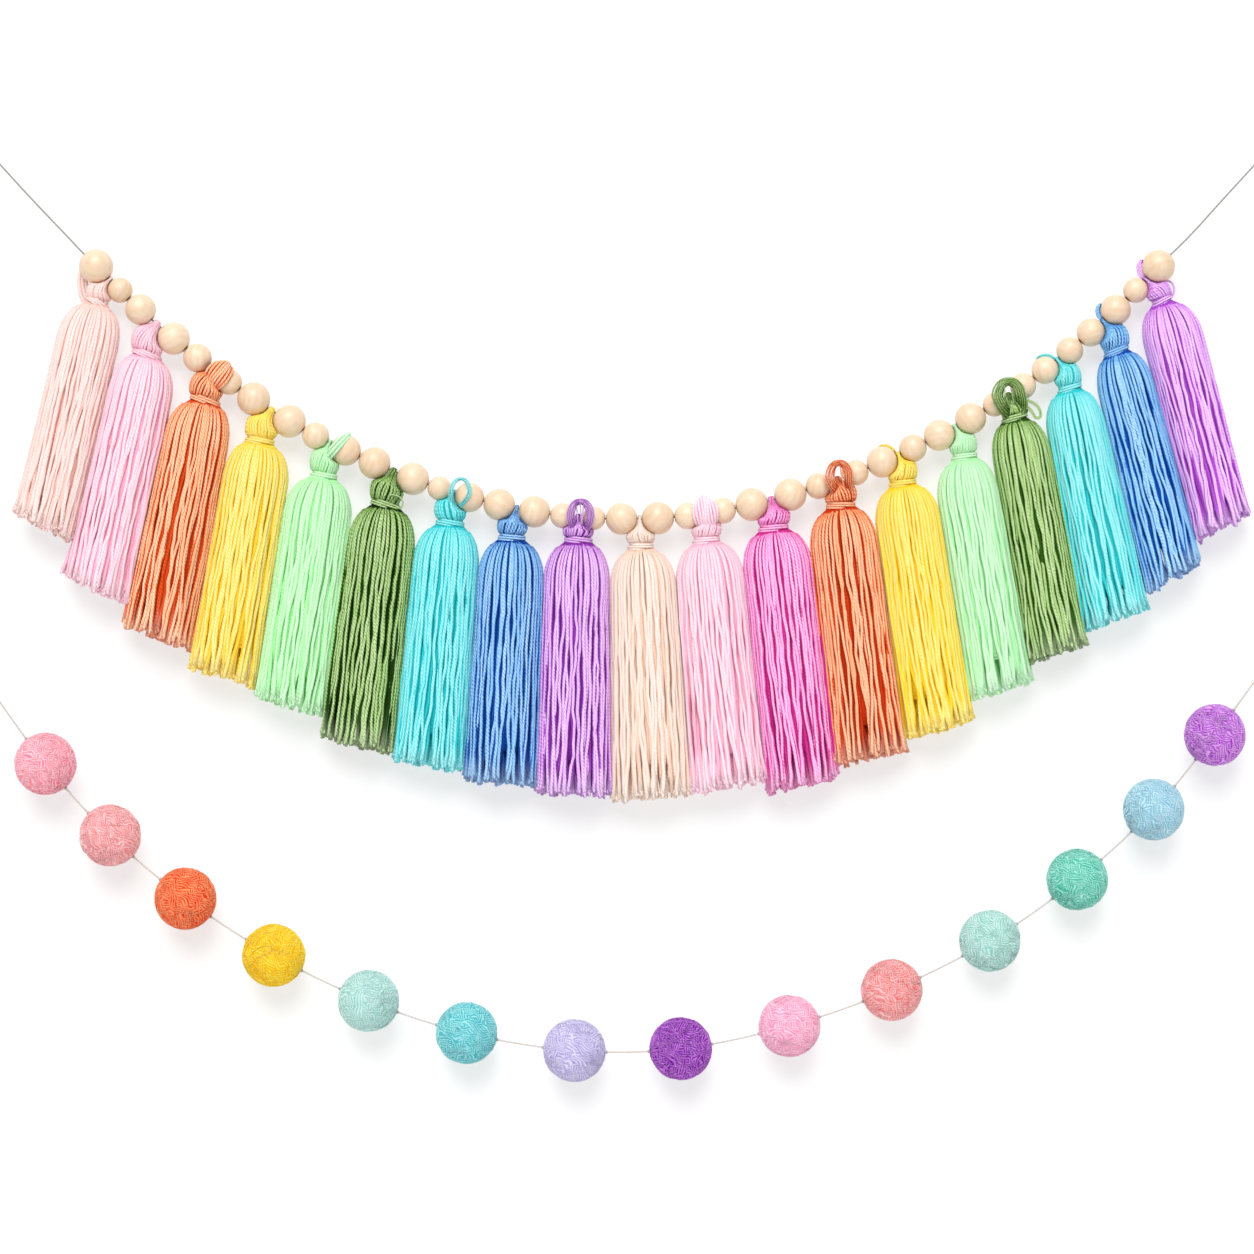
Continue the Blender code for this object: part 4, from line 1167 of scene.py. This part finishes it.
def wood_material():
    """Bare pale beech: faint rings, fine dark pores, a satin skin, and painted shade down its bore."""
    finish = Finish("wood")
    depth, _, own = finish.tones()
    turned = finish.add("VectorRotate", [("Vector", finish.spot()), ("Axis", (0.5, 0.7, 0.5)),
                                         ("Angle", finish.maths("MULTIPLY", own, 40.0))]).outputs[0]
    rings = finish.wave(turned, 100.0, 7.0, 2.0).outputs[1]
    long_way = finish.add("Mapping", [("Vector", turned), ("Scale", (1.0, 1.0, 0.12))]).outputs[0]
    pore = finish.ramp(finish.noise(long_way, 1500.0, 3.0), (0.50, 0.0), (0.68, 1.0))
    cloud = finish.ramp(finish.noise(long_way, 260.0, 2.0), (0.40, 0.0), (0.62, 1.0))
    base = finish.mix(own, (0.86, 0.67, 0.47), (0.79, 0.57, 0.37))
    base = finish.stain(base, rings, 0.20, (0.66, 0.41, 0.23))
    base = finish.stain(base, cloud, 0.22, (0.93, 0.78, 0.62))
    base = finish.stain(base, pore, 0.22, (0.60, 0.37, 0.21))
    # Painted shade: dark brown down the bore
    base = finish.mix(depth, base, (0.14, 0.07, 0.035))
    finish.surface(base, 0.48, 0.8)
    finish.put(finish.shader, "Coat Weight", 0.25)
    finish.put(finish.shader, "Coat Roughness", 0.35)
    finish.bump(finish.maths("MULTIPLY_ADD", pore, -1.0, rings), 0.01 * MM)
    return finish.material


def curly_lines(finish, spot):
    """Fine wavy lines, side by side, that run another way in each patch."""
    patches = finish.noise(spot, 230.0, 1.0)
    curls = []
    for number, direction in enumerate(FELT_CURLS):
        wave = finish.wave(spot, FELT_LINES, 14.0, 1.0, bands_direction=direction)
        finish.put(wave, "Phase Offset", 2.0 * number)
        curls.append(finish.ramp(wave.outputs[1], (0.3, 0.0), (0.9, 1.0)))
    crossing = curls[0]
    for lines, start in zip(curls[1:], PATCH_STARTS):
        crossing = finish.mix(finish.ramp(patches, (start, 0.0), (start + 0.02, 1.0)), crossing, lines)
    return crossing


def felt_material(name, colour):
    """Felted wool: fine pale fibres that lie side by side in curls over a deeper ground."""
    finish = Finish(name)
    _, pale, _ = finish.tones()
    spot = finish.spot()
    lines = curly_lines(finish, spot)
    patch = finish.ramp(finish.noise(spot, 300.0, 2.0), (0.38, 0.0), (0.62, 1.0))
    ground = tuple(part ** (2.4 - 1.1 * lightness(colour)) for part in colour)
    hair = tuple(part ** 0.4 for part in colour)
    base = finish.stain(ground, patch, 0.5, colour)
    base = finish.mix(lines, base, colour)
    light = finish.maths("MULTIPLY", lines, finish.maths("MULTIPLY_ADD", patch, 0.35, 0.3))
    base = finish.mix(finish.maths("MAXIMUM", light, finish.maths("MULTIPLY", pale, 0.6)), base, hair)
    finish.surface(base, 0.95, 0.06, 1.0, hair)
    on_ball = finish.maths("LESS_THAN", pale, 0.1)
    finish.bump(finish.maths("MULTIPLY", lines, on_ball), 0.15 * MM)
    return finish.material


def string_material():
    """Matt twisted cotton, paler on the lower string and dark where beads shade it."""
    finish = Finish("string")
    depth, pale, _ = finish.tones()
    fluff = finish.noise(finish.spot(), 2200.0, 2.0)
    base = finish.mix(fluff, (0.24, 0.23, 0.22), (0.42, 0.41, 0.40))
    base = finish.stain(base, pale, 0.8, (0.66, 0.60, 0.56))
    deep = finish.ramp(depth, (0.6, 0.0), (0.85, 1.0))
    base = finish.stain(base, deep, 0.7, (0.20, 0.13, 0.09))
    finish.surface(base, 0.8, 0.2, 0.2)
    finish.bump(fluff, 0.05 * MM)
    return finish.material


def stage_material():
    """Softly glowing white card that is seen only from its front."""
    finish = Finish("card")
    finish.surface((STAGE_GREY,) * 3, 1.0, 0.0)
    finish.put(finish.shader, "Emission Color", (1.0, 1.0, 1.0))
    finish.put(finish.shader, "Emission Strength", STAGE_GLOW)
    clear = finish.add("BsdfTransparent")
    facing = finish.add("NewGeometry").outputs["Backfacing"]
    either = finish.add("MixShader", [(0, facing), (1, finish.shader.outputs[0]), (2, clear.outputs[0])])
    finish.links.new(either.outputs[0], finish.nodes["Material Output"].inputs["Surface"])
    return finish.material


# Camera, stage and light

def make_camera():
    data = bpy.data.cameras.new("camera")
    data.lens = LENS
    data.sensor_width = SENSOR
    data.clip_end = 50
    camera = add_object("camera", data)
    camera.location = PICTURE_MIDDLE + Vector((0, -PICTURE_WIDTH * LENS / SENSOR, 0))
    camera.rotation_euler = (math.pi / 2, 0, 0)
    bpy.context.scene.camera = camera


def make_stage():
    """A white wall behind the garland that runs down to a pale floor."""
    y = WALL_Y + STAGE_GAP
    left, right = PICTURE_MIDDLE.x - STAGE_HALF_WIDTH, PICTURE_MIDDLE.x + STAGE_HALF_WIDTH
    profile = [(y, STAGE_TOP), (y, FLOOR_Z + 0.2), (y - 0.06, FLOOR_Z + 0.06), (y - 0.2, FLOOR_Z),
               (y - FLOOR_REACH, FLOOR_Z)]
    corners = [(x, depth, height) for depth, height in profile for x in (left, right)]
    faces = [(2 * row, 2 * row + 2, 2 * row + 3, 2 * row + 1) for row in range(len(profile) - 1)]
    mesh = bpy.data.meshes.new("wall_and_floor")
    mesh.from_pydata(corners, [], faces)
    mesh.shade_smooth()
    mesh.materials.append(stage_material())
    add_object("wall_and_floor", mesh)


def make_light():
    world = bpy.data.worlds.new("studio")
    world.use_nodes = True
    sky = world.node_tree.nodes["Background"]
    sky.inputs["Color"].default_value = (1.0, 1.0, 1.0, 1.0)
    sky.inputs["Strength"].default_value = SKY
    bpy.context.scene.world = world
    for name, lamp in LAMPS.items():
        data = bpy.data.lights.new(name, "SUN")
        data.energy = lamp.strength
        data.angle = lamp.softness
        made = add_object(name, data)
        made.rotation_mode = "QUATERNION"
        made.rotation_quaternion = Vector(lamp.toward).to_track_quat("-Z", "Y")


# The whole garland

def build_garland():
    string_finish = string_material()
    upper = smooth_curve(UPPER_ROUTE, 0.0)
    middles = [(ball.x, ball.z) for ball in FELT_BALLS]
    lower = smooth_curve([LOWER_START] + middles + [LOWER_END], LOWER_STRING_Y)
    ends = (
        ("hanging_loop_upper_left", Vector((0, 0, 0)), upper[0]),
        ("hanging_loop_upper_right", Vector((HANG_SPAN, 0, 0)), upper[-1]),
        ("hanging_loop_lower_left", Vector((0, LOWER_STRING_Y, -LOWER_LEFT_DROP)), lower[0]),
        ("hanging_loop_lower_right", Vector((HANG_SPAN, LOWER_STRING_Y, -LOWER_RIGHT_DROP)), lower[-1]),
    )
    loops = [build_hanging_loop(name, centre, end, string_finish) for name, centre, end in ends]
    knots = build_ball_knots(lower, stations_of(lower), string_finish)
    stations = stations_of(upper)
    shaded = (FIRST_BEAD_STATION, stations[-1] - FIRST_BEAD_STATION)
    build_string("cord_upper", "string_upper", upper, stations, shaded, 0.0, string_finish)
    build_string("cord_lower", "string_lower", lower, stations_of(lower), (0, 0), 1.0, string_finish)
    layouts = lay_out_tassels(upper, stations)
    for index in range(len(layouts)):
        build_tassel(layouts, index)
    build_beads(layouts, wood_material())
    for number, ball in enumerate(FELT_BALLS, 1):
        build_felt_ball(number, ball, lower[number * ROUTE_STEPS])


make_camera()
build_garland()
make_stage()
make_light()
bpy.context.scene.view_settings.view_transform = "Standard"
